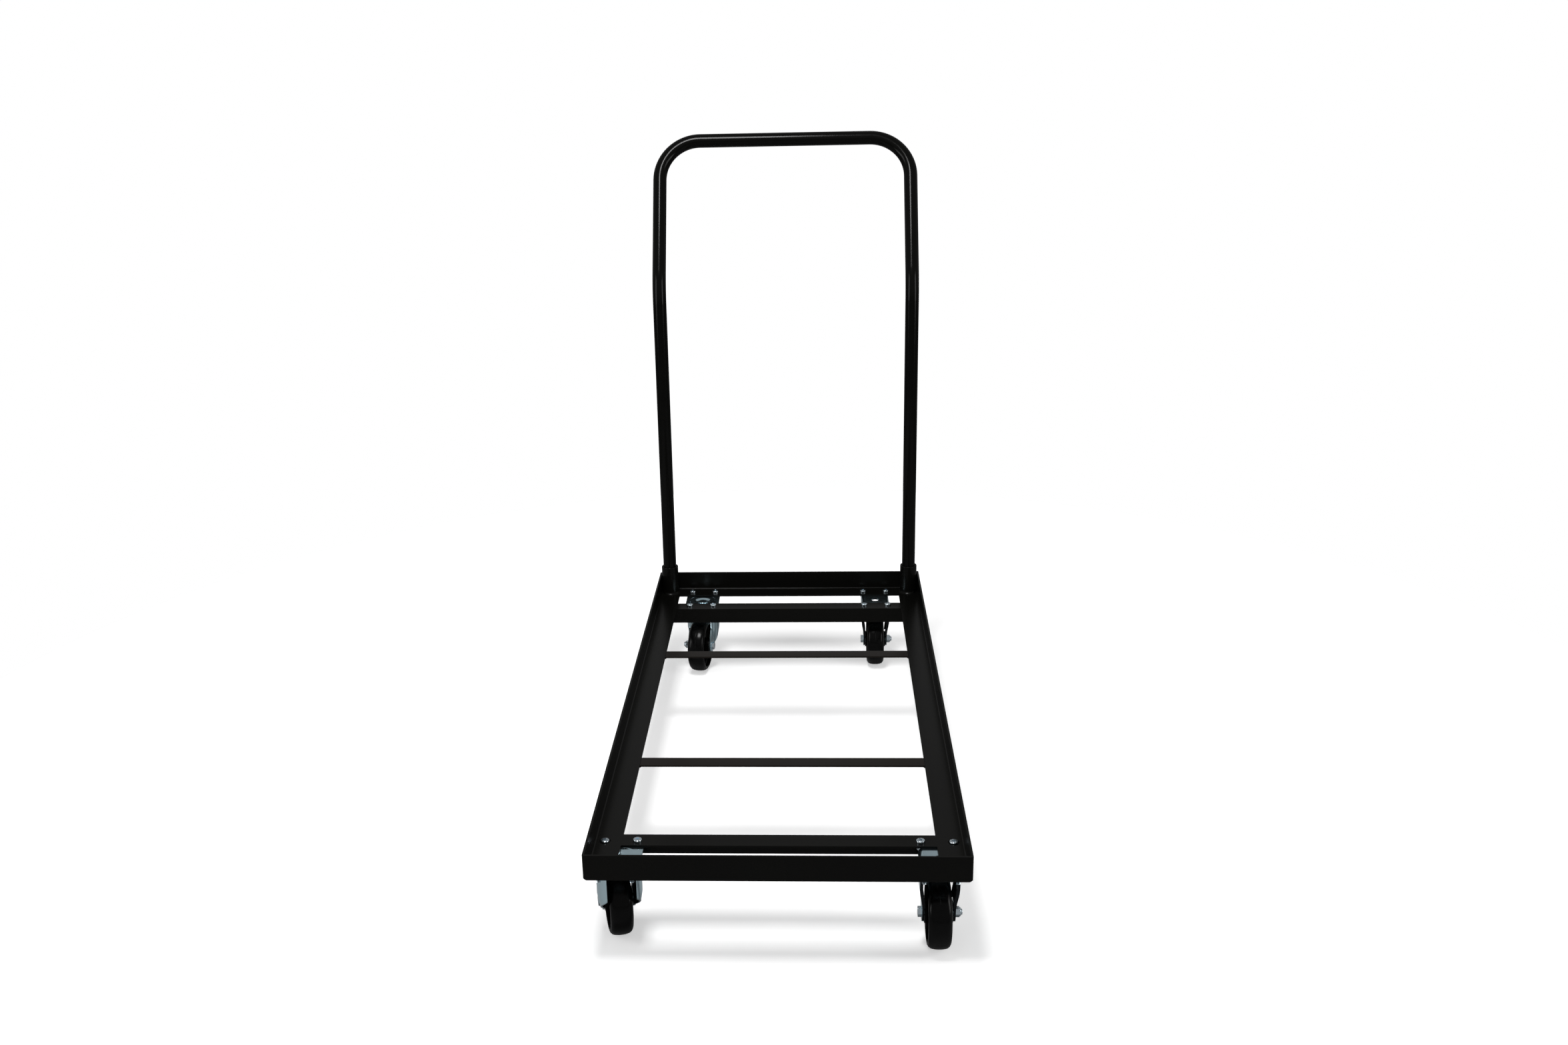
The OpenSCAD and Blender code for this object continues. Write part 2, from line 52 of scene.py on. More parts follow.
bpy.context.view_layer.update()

# %% [markdown]
# Camera
# The photograph is taken from above head height, a little to the right of the middle. The lens and the place
# were worked out from the rails, the bolt pattern and the handle. The horizon is just above the frame, so the
# whole background is floor. A small shift stands for the way that the picture was cropped.

# %% Place the camera
MM = 0.001

camera = bpy.data.objects.new("camera", bpy.data.cameras.new("camera"))
scene.collection.objects.link(camera)
camera.location = Vector((54.208, -2319.931, 1186.930)) * MM
camera.rotation_euler = [math.radians(a) for a in (71.48830, 1.25743, 2.59976)]
camera.data.sensor_width = 36
camera.data.lens = 34.5323
camera.data.shift_x = 0.0275047
camera.data.shift_y = 0.0075746
camera.data.clip_start = 0.05
scene.camera = camera
scene.view_settings.view_transform = "Standard"
print("camera stands", round(camera.location.z, 2), "m high")

# %% [markdown]
# Colours and nodes
# A colour picker shows sRGB values, but shaders count in linear light, so one function turns a hex colour into
# linear numbers. A second one adds a node, sets it and links it, which keeps each finish short to read.

# %% Helpers for the finishes
def linear(colour):
    """The linear colour of an sRGB hex value."""
    shares = [int(colour[i:i + 2], 16) / 255 for i in (1, 3, 5)]
    return [c / 12.92 if c <= 0.04045 else ((c + 0.055) / 1.055) ** 2.4 for c in shares] + [1.0]


def add(tree, kind, inputs=None, **settings):
    """Adds a node; a value in inputs is either set on the socket or, where it is a socket, linked to it."""
    node = tree.nodes.new(kind)
    for name, value in settings.items():
        setattr(node, name, value)
    for name, value in (inputs or {}).items():
        if isinstance(value, bpy.types.NodeSocket):
            tree.links.new(value, node.inputs[name])
        else:
            node.inputs[name].default_value = value
    return node


def new_finish(name):
    """An empty material, with the place on the piece in metres."""
    material = bpy.data.materials.new(name)
    material.use_nodes = True
    tree = material.node_tree
    tree.nodes.clear()
    place = add(tree, "ShaderNodeTexCoord").outputs["Object"]
    return material, tree, place


print("black is", linear("#000000")[:3], "and white is", linear("#ffffff")[:3])

# %% [markdown]
# Black powder coat
# The frame is sprayed with a dry powder that melts into an even skin. It is nearly black, with a faint warm
# tint and a low gloss. The skin is never quite flat: it has the dimples of an orange's peel, 1 to 3 mm wide.
# They are drawn coarser here, because a pixel of the picture covers more than a millimetre. The two flat bars
# look lighter and warmer than the rails, so they get a lighter, duller version of the same coat.

# %% Make the powder coats
PEEL, PEEL_DEPTH, PEEL_STRENGTH = 4 * MM, 0.2 * MM, 0.12
CLOUD = 90 * MM
SHEEN = 0.1
PAINT_IOR = 1.5
COAT_SPREAD = 0.05


def powder_coat(name, dark, light, gloss):
    """Deep black coat: its colour drifts between two tones, and its dimples break up the reflections."""
    material, tree, place = new_finish(name)
    cloud = add(tree, "ShaderNodeTexNoise", {"Vector": place, "Scale": 1 / CLOUD, "Detail": 4})
    peel = add(tree, "ShaderNodeTexNoise", {"Vector": place, "Scale": 1 / PEEL, "Detail": 2})
    tone = add(tree, "ShaderNodeMix", {0: cloud.outputs["Fac"], 6: linear(dark), 7: linear(light)},
               data_type="RGBA")
    rough = add(tree, "ShaderNodeMapRange",
                {"Value": peel.outputs["Fac"], "To Min": gloss - COAT_SPREAD, "To Max": gloss + COAT_SPREAD})
    dimples = add(tree, "ShaderNodeBump",
                  {"Height": peel.outputs["Fac"], "Strength": PEEL_STRENGTH, "Distance": PEEL_DEPTH})
    coat = add(tree, "ShaderNodeBsdfPrincipled", {
        "Base Color": tone.outputs[2], "Roughness": rough.outputs[0], "Normal": dimples.outputs[0],
        "IOR": PAINT_IOR, "Specular IOR Level": SHEEN})
    add(tree, "ShaderNodeOutputMaterial", {"Surface": coat.outputs[0]})
    return material


rail_coat = powder_coat("black_powder_coat", "#080807", "#0c0c0a", 0.24)
bar_coat = powder_coat("black_powder_coat_on_flat_bar", "#171412", "#1e1a17", 0.32)
print("made", rail_coat.name, "and", bar_coat.name)

# %% [markdown]
# Black gloss paint
# The handle tube is smoother than the frame: its soft highlights are narrow and run along the whole tube. A
# low roughness gives that, with a very slight waviness from the drawn tube under the paint.

# %% Make the handle's paint
WAVE = 30 * MM
PAINT_GLOSS = 0.13, 0.19
RIPPLE_STRENGTH = 0.015

handle_paint, tree, place = new_finish("black_gloss_paint")
wave = add(tree, "ShaderNodeTexNoise", {"Vector": place, "Scale": 1 / WAVE, "Detail": 3})
speck = add(tree, "ShaderNodeTexNoise", {"Vector": place, "Scale": 1 / PEEL, "Detail": 2})
tone = add(tree, "ShaderNodeMix", {0: wave.outputs["Fac"], 6: linear("#060605"), 7: linear("#090908")},
           data_type="RGBA")
rough = add(tree, "ShaderNodeMapRange",
            {"Value": wave.outputs["Fac"], "To Min": PAINT_GLOSS[0], "To Max": PAINT_GLOSS[1]})
ripple = add(tree, "ShaderNodeBump",
             {"Height": speck.outputs["Fac"], "Strength": RIPPLE_STRENGTH, "Distance": PEEL_DEPTH})
paint = add(tree, "ShaderNodeBsdfPrincipled", {
    "Base Color": tone.outputs[2], "Roughness": rough.outputs[0], "Normal": ripple.outputs[0],
    "IOR": PAINT_IOR, "Specular IOR Level": SHEEN})
add(tree, "ShaderNodeOutputMaterial", {"Surface": paint.outputs[0]})
print("made", handle_paint.name)

# %% [markdown]
# Zinc plated steel
# The casters are pressed from sheet steel and then plated with zinc, which is a bluish grey metal. The sheet's
# rolling marks show through as fine streaks, and the plating has patches of slightly different blue. Marked
# faces get painted shade: a darker tone for the shaded floor that they mirror. Bolts and nuts are
# plated brighter and are smooth, so they take sharp small highlights.

# %% Make the two platings
STREAK, STREAK_DEPTH = 1.5 * MM, 0.1 * MM
STREAK_SHAPE = (1, 0.06, 0.3)
PATCH = 25 * MM
ZINC_SPREAD = 0.06
# Painted shade: faces marked with this attribute take a dark tone for the shaded floor that they mirror.
SHADE_ATTRIBUTE, PAINTED_SHADE_TONE = "painted_shade_faces", "#242628"


def zinc_plating(name, dull, bright, gloss, streaks):
    """Metal whose tone changes in patches, with streaks along the trolley's length."""
    material, tree, place = new_finish(name)
    patch = add(tree, "ShaderNodeTexNoise", {"Vector": place, "Scale": 1 / PATCH, "Detail": 5})
    along = add(tree, "ShaderNodeMapping", {"Vector": place, "Scale": [s / STREAK for s in STREAK_SHAPE]})
    streak = add(tree, "ShaderNodeTexNoise", {"Vector": along.outputs[0], "Scale": 1, "Detail": 2})
    tone = add(tree, "ShaderNodeMix", {0: patch.outputs["Fac"], 6: linear(dull), 7: linear(bright)},
               data_type="RGBA")
    # Painted shade: marked faces are mixed towards the dark tone.
    edge = add(tree, "ShaderNodeAttribute", attribute_name=SHADE_ATTRIBUTE)
    shade_mixed = add(tree, "ShaderNodeMix", {0: edge.outputs["Fac"], 6: tone.outputs[2], 7: linear(PAINTED_SHADE_TONE)},
               data_type="RGBA")
    rough = add(tree, "ShaderNodeMapRange",
                {"Value": patch.outputs["Fac"], "To Min": gloss - ZINC_SPREAD, "To Max": gloss + ZINC_SPREAD})
    lines = add(tree, "ShaderNodeBump",
                {"Height": streak.outputs["Fac"], "Strength": streaks, "Distance": STREAK_DEPTH})
    metal = add(tree, "ShaderNodeBsdfPrincipled", {
        "Base Color": shade_mixed.outputs[2], "Metallic": 1.0, "Roughness": rough.outputs[0],
        "Normal": lines.outputs[0]})
    add(tree, "ShaderNodeOutputMaterial", {"Surface": metal.outputs[0]})
    return material


sheet_zinc = zinc_plating("zinc_plated_sheet", "#c9e2ec", "#d7eff8", 0.17, 0.06)
bright_zinc = zinc_plating("bright_zinc_plated_steel", "#ccdae3", "#e6f1f7", 0.16, 0.03)
print("made", sheet_zinc.name, "and", bright_zinc.name)

# %% [markdown]
# Moulded black plastic
# The wheels are moulded in one hard black plastic. Moulds leave a satin face, with a fine grain that
# spreads each highlight into a soft glow.

# %% Make the wheels' plastic
GRAIN, GRAIN_DEPTH, GRAIN_STRENGTH = 1.5 * MM, 0.1 * MM, 0.08
WHEEL_GLOSS = 0.17, 0.23
WHEEL_SHEEN = 0.12
PLASTIC_IOR = 1.49

wheel_plastic, tree, place = new_finish("moulded_black_plastic")
cloud = add(tree, "ShaderNodeTexNoise", {"Vector": place, "Scale": 1 / PATCH, "Detail": 4})
grain = add(tree, "ShaderNodeTexNoise", {"Vector": place, "Scale": 1 / GRAIN, "Detail": 2})
tone = add(tree, "ShaderNodeMix", {0: cloud.outputs["Fac"], 6: linear("#040404"), 7: linear("#080808")},
           data_type="RGBA")
rough = add(tree, "ShaderNodeMapRange",
            {"Value": grain.outputs["Fac"], "To Min": WHEEL_GLOSS[0], "To Max": WHEEL_GLOSS[1]})
skin = add(tree, "ShaderNodeBump",
           {"Height": grain.outputs["Fac"], "Strength": GRAIN_STRENGTH, "Distance": GRAIN_DEPTH})
plastic = add(tree, "ShaderNodeBsdfPrincipled", {
    "Base Color": tone.outputs[2], "Roughness": rough.outputs[0], "Normal": skin.outputs[0],
    "IOR": PLASTIC_IOR, "Specular IOR Level": WHEEL_SHEEN})
add(tree, "ShaderNodeOutputMaterial", {"Surface": plastic.outputs[0]})
print("made", wheel_plastic.name)

# %% [markdown]
# From drawing to piece
# Every piece is drawn in millimetres with mesh operators. When it is done, its doubles are merged, its faces
# are turned outwards, and it is scaled to metres. Smooth shading with a crease angle keeps edges crisp, and
# weighted normals keep large flats flat beside their small rounded edges.

# %% Helpers that finish a piece
CREASE = 40
MERGE = 0.002


def only(kind, geometry):
    """The vertices, edges or faces out of what an operator returns."""
    return [g for g in geometry if isinstance(g, kind)]


def turn_outwards(bm):
    """Makes each closed shell's faces look outwards: a shell with a negative volume is inside out."""
    bmesh.ops.recalc_face_normals(bm, faces=bm.faces[:])
    waiting = set(bm.faces)
    while waiting:
        shell, found = set(), {waiting.pop()}
        while found:
            shell |= found
            found = {near for face in found for edge in face.edges for near in edge.link_faces} - shell
        waiting -= shell
        if sum(f.calc_area() * f.normal.dot(f.calc_center_median()) for f in shell) < 0:
            bmesh.ops.reverse_faces(bm, faces=list(shell))


def new_piece(bm, name, body, nodes, material):
    """Turns a drawing in millimetres into a piece that rides on a body and stands for CAD nodes."""
    bmesh.ops.remove_doubles(bm, verts=bm.verts[:], dist=MERGE)
    bmesh.ops.dissolve_degenerate(bm, edges=bm.edges[:], dist=MERGE)
    turn_outwards(bm)
    bmesh.ops.scale(bm, vec=(MM, MM, MM), verts=bm.verts[:])
    mesh = bpy.data.meshes.new(name)
    bm.to_mesh(mesh)
    bm.free()
    mesh.shade_smooth()
    mesh.set_sharp_from_angle(angle=math.radians(CREASE))
    mesh.materials.append(material)
    piece = bpy.data.objects.new(name, mesh)
    scene.collection.objects.link(piece)
    piece.modifiers.new("even_shading", "WEIGHTED_NORMAL").keep_sharp = True
    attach(piece, body)
    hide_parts(*nodes)
    print(name, len(mesh.polygons), "faces, rides on", body)


print("edges bent by more than", CREASE, "degrees stay crisp")

# %% [markdown]
# Steps that come back
# A few steps are used for many pieces. Places and sizes are measured on the solids. A bevel on the sharp
# edges stands for the small radius that rolling, pressing or paint leaves. Copies of one drawing share one
# mesh, and faces are extruded with their edges and corners, so that no old face stays inside.

# %% Helpers that draw
def box_of(node):
    """Lowest and highest corner of a CAD node in millimetres."""
    return [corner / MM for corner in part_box(node)]


def pull(bm, faces, keep=False):
    """Extrudes faces together with their edges and corners, which lets the operator remove the old faces."""
    edges = {edge for face in faces for edge in face.edges}
    corners = {corner for face in faces for corner in face.verts}
    return bmesh.ops.extrude_face_region(bm, geom=[*faces, *edges, *corners], use_keep_orig=keep)["geom"]


def soften(bm, width, segments=2, sharper_than=30):
    """Rounds every edge that is sharper than an angle."""
    sharp = [e for e in bm.edges if len(e.link_faces) == 2
             and e.calc_face_angle(0) > math.radians(sharper_than)]
    bmesh.ops.bevel(bm, geom=sharp, offset=width, offset_type="OFFSET", segments=segments, profile=0.5,
                    affect="EDGES", material=-1, clamp_overlap=True)


def place_all(bm, matrix):
    """Moves a whole drawing."""
    bmesh.ops.transform(bm, matrix=matrix, verts=bm.verts[:])


def copies(bm, matrices):
    """Puts a copy of the drawing at each place, in one mesh."""
    shape = bm.verts[:] + bm.edges[:] + bm.faces[:]
    for matrix in matrices[1:]:
        twin = bmesh.ops.duplicate(bm, geom=shape)["geom"]
        bmesh.ops.transform(bm, matrix=matrix, verts=only(bmesh.types.BMVert, twin))
    bmesh.ops.transform(bm, matrix=matrices[0], verts=only(bmesh.types.BMVert, shape))


print("front rail starts at", [round(v, 1) for v in box_of("front_rail")[0]], "mm")

# %% [markdown]
# Angle rails
# The bed's four sides are lengths of rolled angle steel, with their ends cut at 45 degrees and welded. The L
# is drawn as one face, its inner corner is rounded by a bevel, and it is pulled out to its length. Two slanted
# cuts make the mitres, and a few more grind the frame's outer corners round, as a welder does. The last step
# rounds every edge a little, as rolling and paint do.

# %% Draw the rolled angles
STEEL = 3
ROOT_R = 2
EDGE_R = 0.8
POST_R, GROUND_R = 2.5, 6
GRIND_TURNS = (20, 45, 70)
FACING = 0.99


def rolled_angle(length, up, across):
    """Rolled L section along X, with its heel on the X axis."""
    bm = bmesh.new()
    outline = [(0, 0), (across, 0), (across, STEEL), (STEEL, STEEL), (STEEL, up), (0, up)]
    ring = [bm.verts.new((-length / 2, y, z)) for y, z in outline]
    bm.faces.new(ring)
    bmesh.ops.bevel(bm, geom=[ring[3]], offset=ROOT_R, offset_type="OFFSET", segments=6, profile=0.5,
                    affect="VERTICES", material=-1)
    pulled = bmesh.ops.extrude_face_region(bm, geom=bm.faces[:], use_keep_orig=True)["geom"]
    bmesh.ops.translate(bm, vec=(length, 0, 0), verts=only(bmesh.types.BMVert, pulled))
    bmesh.ops.recalc_face_normals(bm, faces=bm.faces[:])
    return bm


def trim(bm, point, way):
    """Cuts off what lies beyond a plane and closes the cut."""
    cut = bmesh.ops.bisect_plane(bm, geom=bm.verts[:] + bm.edges[:] + bm.faces[:], dist=MERGE,
                                 plane_co=point, plane_no=way, clear_outer=True)
    bmesh.ops.contextual_create(bm, geom=only(bmesh.types.BMEdge, cut["geom_cut"]))


def mitre(bm, length):
    """Cuts both ends at 45 degrees, then grinds the upright corner edge and the lower corner round."""
    for side in (-1, 1):
        trim(bm, (side * length / 2, 0, 0), (side, 1, 0))
        for radius, outward in ((POST_R, Vector((0, -1, 0))), (GROUND_R, Vector((0, 0, -1)))):
            middle = Vector((side * (length / 2 - radius), radius, radius))
            for turn in GRIND_TURNS:
                way = Matrix.Rotation(math.radians(turn), 3, outward.cross((side, 0, 0))) @ outward
                trim(bm, middle + way * radius, way)


front_low, front_high = box_of("front_rail")
rear_high = box_of("rear_rail")[1]
BED_W = front_high.x - front_low.x
BED_L = rear_high.y - front_low.y
BED_Y = (rear_high.y + front_low.y) / 2
RAIL_H = front_high.z - front_low.z
RAIL_FLANGE = front_high.y - front_low.y
DECK_Z = front_low.z
FLANGE_TOP = DECK_Z + STEEL
print("bed is", round(BED_W), "by", round(BED_L), "mm, its flange top is", round(FLANGE_TOP), "mm up")

# %% [markdown]
# Spot faces
# The front casters' outer bolts sit in shallow round recesses in the side rails. In a mesh, such a recess is
# a hole in the flange's top face: the face is removed, filled again round a circle, and the circle's edge is
# pulled down and closed.

# %% Draw the rails
SPOT_D = 15.5
SPOT_DEPTH = 1.5
SPOT_RIM = 0.3


def spot_face(bm, x, y, top):
    """Sinks a round recess in the level face under a point."""
    level = [f for f in bm.faces if f.normal.z > FACING and abs(f.calc_center_median().z - top) < MERGE]
    face = max(level, key=lambda f: f.calc_area())
    rim = face.edges[:]
    bmesh.ops.delete(bm, geom=[face], context="FACES_ONLY")
    ring = bmesh.ops.create_circle(bm, cap_ends=False, radius=SPOT_D / 2 + SPOT_RIM, segments=40,
                                   matrix=Matrix.Translation((x, y, top)))["verts"]
    hole = list({e for v in ring for e in v.link_edges})
    bmesh.ops.triangle_fill(bm, use_beauty=True, edges=rim + hole)
    middle = Matrix.Translation((-x, -y, -top))
    for shrink, down in ((SPOT_D / (SPOT_D + 2 * SPOT_RIM), SPOT_RIM), (1, SPOT_DEPTH - SPOT_RIM)):
        pulled = bmesh.ops.extrude_edge_only(bm, edges=hole)["geom"]
        hole = only(bmesh.types.BMEdge, pulled)
        moved = only(bmesh.types.BMVert, pulled)
        bmesh.ops.scale(bm, vec=(shrink, shrink, 1), space=middle, verts=moved)
        bmesh.ops.translate(bm, vec=(0, 0, -down), verts=moved)
    bmesh.ops.contextual_create(bm, geom=hole)


bolt_low, bolt_high = box_of("caster_bolts")
BOLT_DX, BOLT_DY = 45, 73
HEAD_R = 6.25
FRONT_X = bolt_high.x - HEAD_R - BOLT_DX / 2
FRONT_Y = bolt_low.y + HEAD_R + BOLT_DY / 2
fork_low, fork_high = box_of("rear_right_fork")
REAR_X = (fork_low.x + fork_high.x) / 2
REAR_Y = bolt_high.y - HEAD_R - BOLT_DY / 2
rail_places = {
    "front_rail": (BED_W, (0, front_low.y, DECK_Z), 0),
    "rear_rail": (BED_W, (0, rear_high.y, DECK_Z), 180),
    "left_rail": (BED_L, (-BED_W / 2, BED_Y, DECK_Z), -90),
    "right_rail": (BED_L, (BED_W / 2, BED_Y, DECK_Z), 90),
}
for node, (length, middle, turn) in rail_places.items():
    bm = rolled_angle(length, RAIL_H, RAIL_FLANGE)
    mitre(bm, length)
    soften(bm, EDGE_R)
    place_all(bm, Matrix.Translation(middle) @ Matrix.Rotation(math.radians(turn), 4, "Z"))
    bm.normal_update()
    if node in ("left_rail", "right_rail"):
        side = math.copysign(1, middle[0])
        spot_face(bm, side * (FRONT_X + BOLT_DX / 2), FRONT_Y + BOLT_DY / 2, FLANGE_TOP)
    new_piece(bm, node + "_steel", "base", [node], rail_coat)

# %% [markdown]
# Cross angles and flat bars
# Two lighter angles carry the casters' inner bolts: their level flange is flush with the rails, and the other
# flange hangs down. They are the same L turned over. The hanging flange runs on under the side rails, so its
# end face is split off and pulled out alone. Two flat bars between them only stiffen the bed.

# %% Draw the cross pieces
INNER_W = BED_W - 2 * RAIL_FLANGE


def run_on(bm, lap):
    """Makes only the upright flange of an angle longer, past both ends."""
    for side in (-1, 1):
        for way in (Vector((0, 0, 1)), Vector((0, 1, 0))):
            end = [f for f in bm.faces if f.normal.x * side > FACING]
            near = {v for f in end for v in f.verts} | {e for f in end for e in f.edges}
            bmesh.ops.bisect_plane(bm, geom=end + list(near), dist=MERGE, plane_co=way * STEEL, plane_no=way)
        tip = [f for f in bm.faces if f.normal.x * side > FACING and f.calc_center_median().z > STEEL
               and f.calc_center_median().y < STEEL]
        pulled = bmesh.ops.extrude_face_region(bm, geom=tip)["geom"]
        bmesh.ops.translate(bm, vec=(side * lap, 0, 0), verts=only(bmesh.types.BMVert, pulled))
        bmesh.ops.delete(bm, geom=tip, context="FACES_ONLY")


for node, turn in (("front_cross_angle", 180), ("rear_cross_angle", 0)):
    low, high = box_of(node)
    heel_y = high.y if turn else low.y
    bm = rolled_angle(INNER_W, high.z - low.z, high.y - low.y)
    run_on(bm, (high.x - low.x - INNER_W) / 2)
    bmesh.ops.scale(bm, vec=(1, 1, -1), verts=bm.verts[:])
    bmesh.ops.recalc_face_normals(bm, faces=bm.faces[:])
    soften(bm, EDGE_R)
    place_all(bm, Matrix.Translation((0, heel_y, FLANGE_TOP)) @ Matrix.Rotation(math.radians(turn), 4, "Z"))
    new_piece(bm, node + "_steel", "base", [node], rail_coat)

for node in ("front_deck_bar", "rear_deck_bar"):
    low, high = box_of(node)
    bm = bmesh.new()
    bmesh.ops.create_cube(bm, size=1)
    bmesh.ops.scale(bm, vec=high - low, verts=bm.verts[:])
    soften(bm, EDGE_R)
    place_all(bm, Matrix.Translation((low + high) / 2))
    new_piece(bm, node + "_steel", "base", [node], bar_coat)

# %% [markdown]
# Turned pieces
# Sockets, sleeves, pins and wheels are round, so each is half a section spun about its axis. The section is
# drawn as a face, chosen corners of it are rounded by a bevel, and only its outline is spun.

# %% Helper for turned pieces
ROUND_STEPS = 64


def turned(section, rounded, steps=ROUND_STEPS):
    """Spins a closed half section of radius and height about Z; rounded gives radii by corner number."""
    bm = bmesh.new()
    corners = [bm.verts.new((r, 0, z)) for r, z in section]
    bm.faces.new(corners)
    for number, radius in rounded.items():
        bmesh.ops.bevel(bm, geom=[corners[number]], offset=radius, offset_type="OFFSET", segments=5,
                        profile=0.5, affect="VERTICES", material=-1)
    bmesh.ops.delete(bm, geom=bm.faces[:], context="FACES_ONLY")
    on_axis = [e for e in bm.edges if max(abs(v.co.x) for v in e.verts) < MERGE]
    bmesh.ops.delete(bm, geom=on_axis, context="EDGES")
    bmesh.ops.spin(bm, geom=bm.verts[:] + bm.edges[:], cent=(0, 0, 0), axis=(0, 0, 1),
                   angle=math.tau, steps=steps, use_merge=True)
    bmesh.ops.remove_doubles(bm, verts=bm.verts[:], dist=MERGE)
    return bm


print("turned pieces have", ROUND_STEPS, "steps, and small ones fewer")

# %% [markdown]
# Handle sockets
# Two short tubes stand in the rear corners of the bed and hold the handle's feet. Their sizes come from the
# solids, and the mouth's two edges are eased, so that the handle slides in without scratching.

# %% Draw the handle sockets
SOCKET_WALL = 3
MOUTH_EASE, BORE_EASE = 1.2, 0.8

for node in ("left_handle_socket", "right_handle_socket"):
    low, high = box_of(node)
    radius = (high.x - low.x) / 2
    tall = high.z - low.z
    bore = radius - SOCKET_WALL
    bm = turned([(bore, 0), (radius, 0), (radius, tall), (bore, tall)],
                {2: MOUTH_EASE, 3: BORE_EASE})
    place_all(bm, Matrix.Translation((low.x + radius, low.y + radius, low.z)))
    new_piece(bm, node + "_steel", "base", [node], rail_coat)

# %% [markdown]
# Weld beads
# A weld sets in small overlapping waves. The bead's cross section is pulled along its path in short steps,
# and every other step swells a little, which gives those waves as real geometry.

# %% Draw the beads at the sockets' feet
BEAD = 4
BEAD_START, BEAD_SWEEP = -120, 150
WAVE_STEP, WAVE_SWELL = 5, 1.12
BURIED = 0.6
BELLY, BELLY_R = BEAD * 0.55, BEAD * 0.4


def socket_bead(radius):
    """Fillet weld round part of a socket's foot, about Z."""
    bm = bmesh.new()
    section = [(-BURIED, -BURIED), (BEAD, -BURIED), (BELLY, BELLY), (-BURIED, BEAD)]
    ring = [bm.verts.new((radius + r, 0, z)) for r, z in section]
    bm.faces.new(ring)
    bmesh.ops.bevel(bm, geom=[ring[2]], offset=BELLY_R, offset_type="OFFSET", segments=3, profile=0.5,
                    affect="VERTICES", material=-1)
    bmesh.ops.rotate(bm, matrix=Matrix.Rotation(math.radians(BEAD_START), 3, "Z"), verts=bm.verts[:])
    front = bm.faces[:]
    step = Matrix.Rotation(math.radians(WAVE_STEP), 3, "Z")
    for number in range(BEAD_SWEEP // WAVE_STEP):
        front = only(bmesh.types.BMFace, pull(bm, front, keep=number == 0))
        verts = front[0].verts[:]
        bmesh.ops.rotate(bm, matrix=step, verts=verts)
        angle = math.radians(BEAD_START + WAVE_STEP * (number + 1))
        root = Matrix.Translation((-radius * math.cos(angle), -radius * math.sin(angle), 0))
        swell = WAVE_SWELL if number % 2 else 1 / WAVE_SWELL
        bmesh.ops.scale(bm, vec=(swell, swell, swell), space=root, verts=verts)
    return bm


left_low, left_high = box_of("left_handle_socket")
SOCKET_R = (left_high.x - left_low.x) / 2
HANDLE_X = -left_low.x - SOCKET_R
HANDLE_Y = left_low.y + SOCKET_R
bm = socket_bead(SOCKET_R)
left_foot = Matrix.Translation((-HANDLE_X, HANDLE_Y, FLANGE_TOP))
right_foot = Matrix.Translation((HANDLE_X, HANDLE_Y, FLANGE_TOP)) @ Matrix.Diagonal((-1, 1, 1, 1))
copies(bm, [left_foot, right_foot])
new_piece(bm, "socket_weld_beads", "base", ["socket_welds"], rail_coat)

# %% [markdown]
# Seams under the bed
# The flat bars and the rear cross angle are welded to the side rails from below. Each seam is a round bead,
# half of it sunk in the steel, pulled along the joint in the same swelling steps.

# %% Draw the seams under the bed
SEAM_R = 2
SEAM_STEP, SEAM_SWELL = 1.6, 1.15


def seam(bm, x, start, end):
    """Half buried bead along Y at the deck's underside."""
    facing = Matrix.Translation((x, start, DECK_Z)) @ Matrix.Rotation(math.pi / 2, 4, "X")
    ring = bmesh.ops.create_circle(bm, cap_ends=True, radius=SEAM_R, segments=12, matrix=facing)
    front = list({f for v in ring["verts"] for f in v.link_faces})
    steps = max(2, round((end - start) / SEAM_STEP))
    for number in range(steps):
        front = only(bmesh.types.BMFace, pull(bm, front, keep=number == 0))
        verts = front[0].verts[:]
        bmesh.ops.translate(bm, vec=(0, (end - start) / steps, 0), verts=verts)
        middle = Matrix.Translation(-front[0].calc_center_median())
        swell = SEAM_SWELL if number % 2 else 1 / SEAM_SWELL
        bmesh.ops.scale(bm, vec=(swell, 1, swell), space=middle, verts=verts)


bm = bmesh.new()
seam_spans = [(low.y + SEAM_R, high.y - SEAM_R)
              for low, high in (box_of("front_deck_bar"), box_of("rear_deck_bar"))]
cross_low, cross_high = box_of("rear_cross_angle")
seam_spans.append((cross_low.y + STEEL + ROOT_R + SEAM_R, cross_high.y - SEAM_R))
for start, end in seam_spans:
    for x in (-INNER_W / 2, INNER_W / 2):
        seam(bm, x, start, end)
new_piece(bm, "frame_weld_seams", "base", ["frame_welds"], rail_coat)

# %% [markdown]
# Push handle
# The handle is one length of steel tube, bent four times. A ring of points is pulled along the same path that
# the bending machine gives it: straight runs are extruded, and bends are spun about the bend's middle. The
# open ends are turned inwards, so that the tube shows its wall when it is lifted out of its sockets.

# %% Draw the handle tube
TUBE_R = 12.5
TUBE_WALL = 1.5
LEAN = math.radians(26.5)
BEND_R, BEND_STEPS = 130, 12
CORNER_R, CORNER_STEPS = 75, 20
BORE_DEPTH = 60

handle_low, handle_high = box_of("push_handle")
top_y, top_z = handle_high.y - TUBE_R, handle_high.z - TUBE_R
kink_z = top_z - (top_y - HANDLE_Y) / math.tan(LEAN)
bend_z = kink_z - BEND_R * math.tan(LEAN / 2)
lean_way = Vector((0, math.sin(LEAN), math.cos(LEAN)))
elbow = Vector((0, HANDLE_Y + BEND_R * (1 - math.cos(LEAN)), bend_z + BEND_R * math.sin(LEAN)))
corner_mid = Vector((0, top_y, top_z)) - lean_way * CORNER_R
lean_run = (corner_mid - elbow).length
corner_axis = lean_way.cross(Vector((1, 0, 0)))


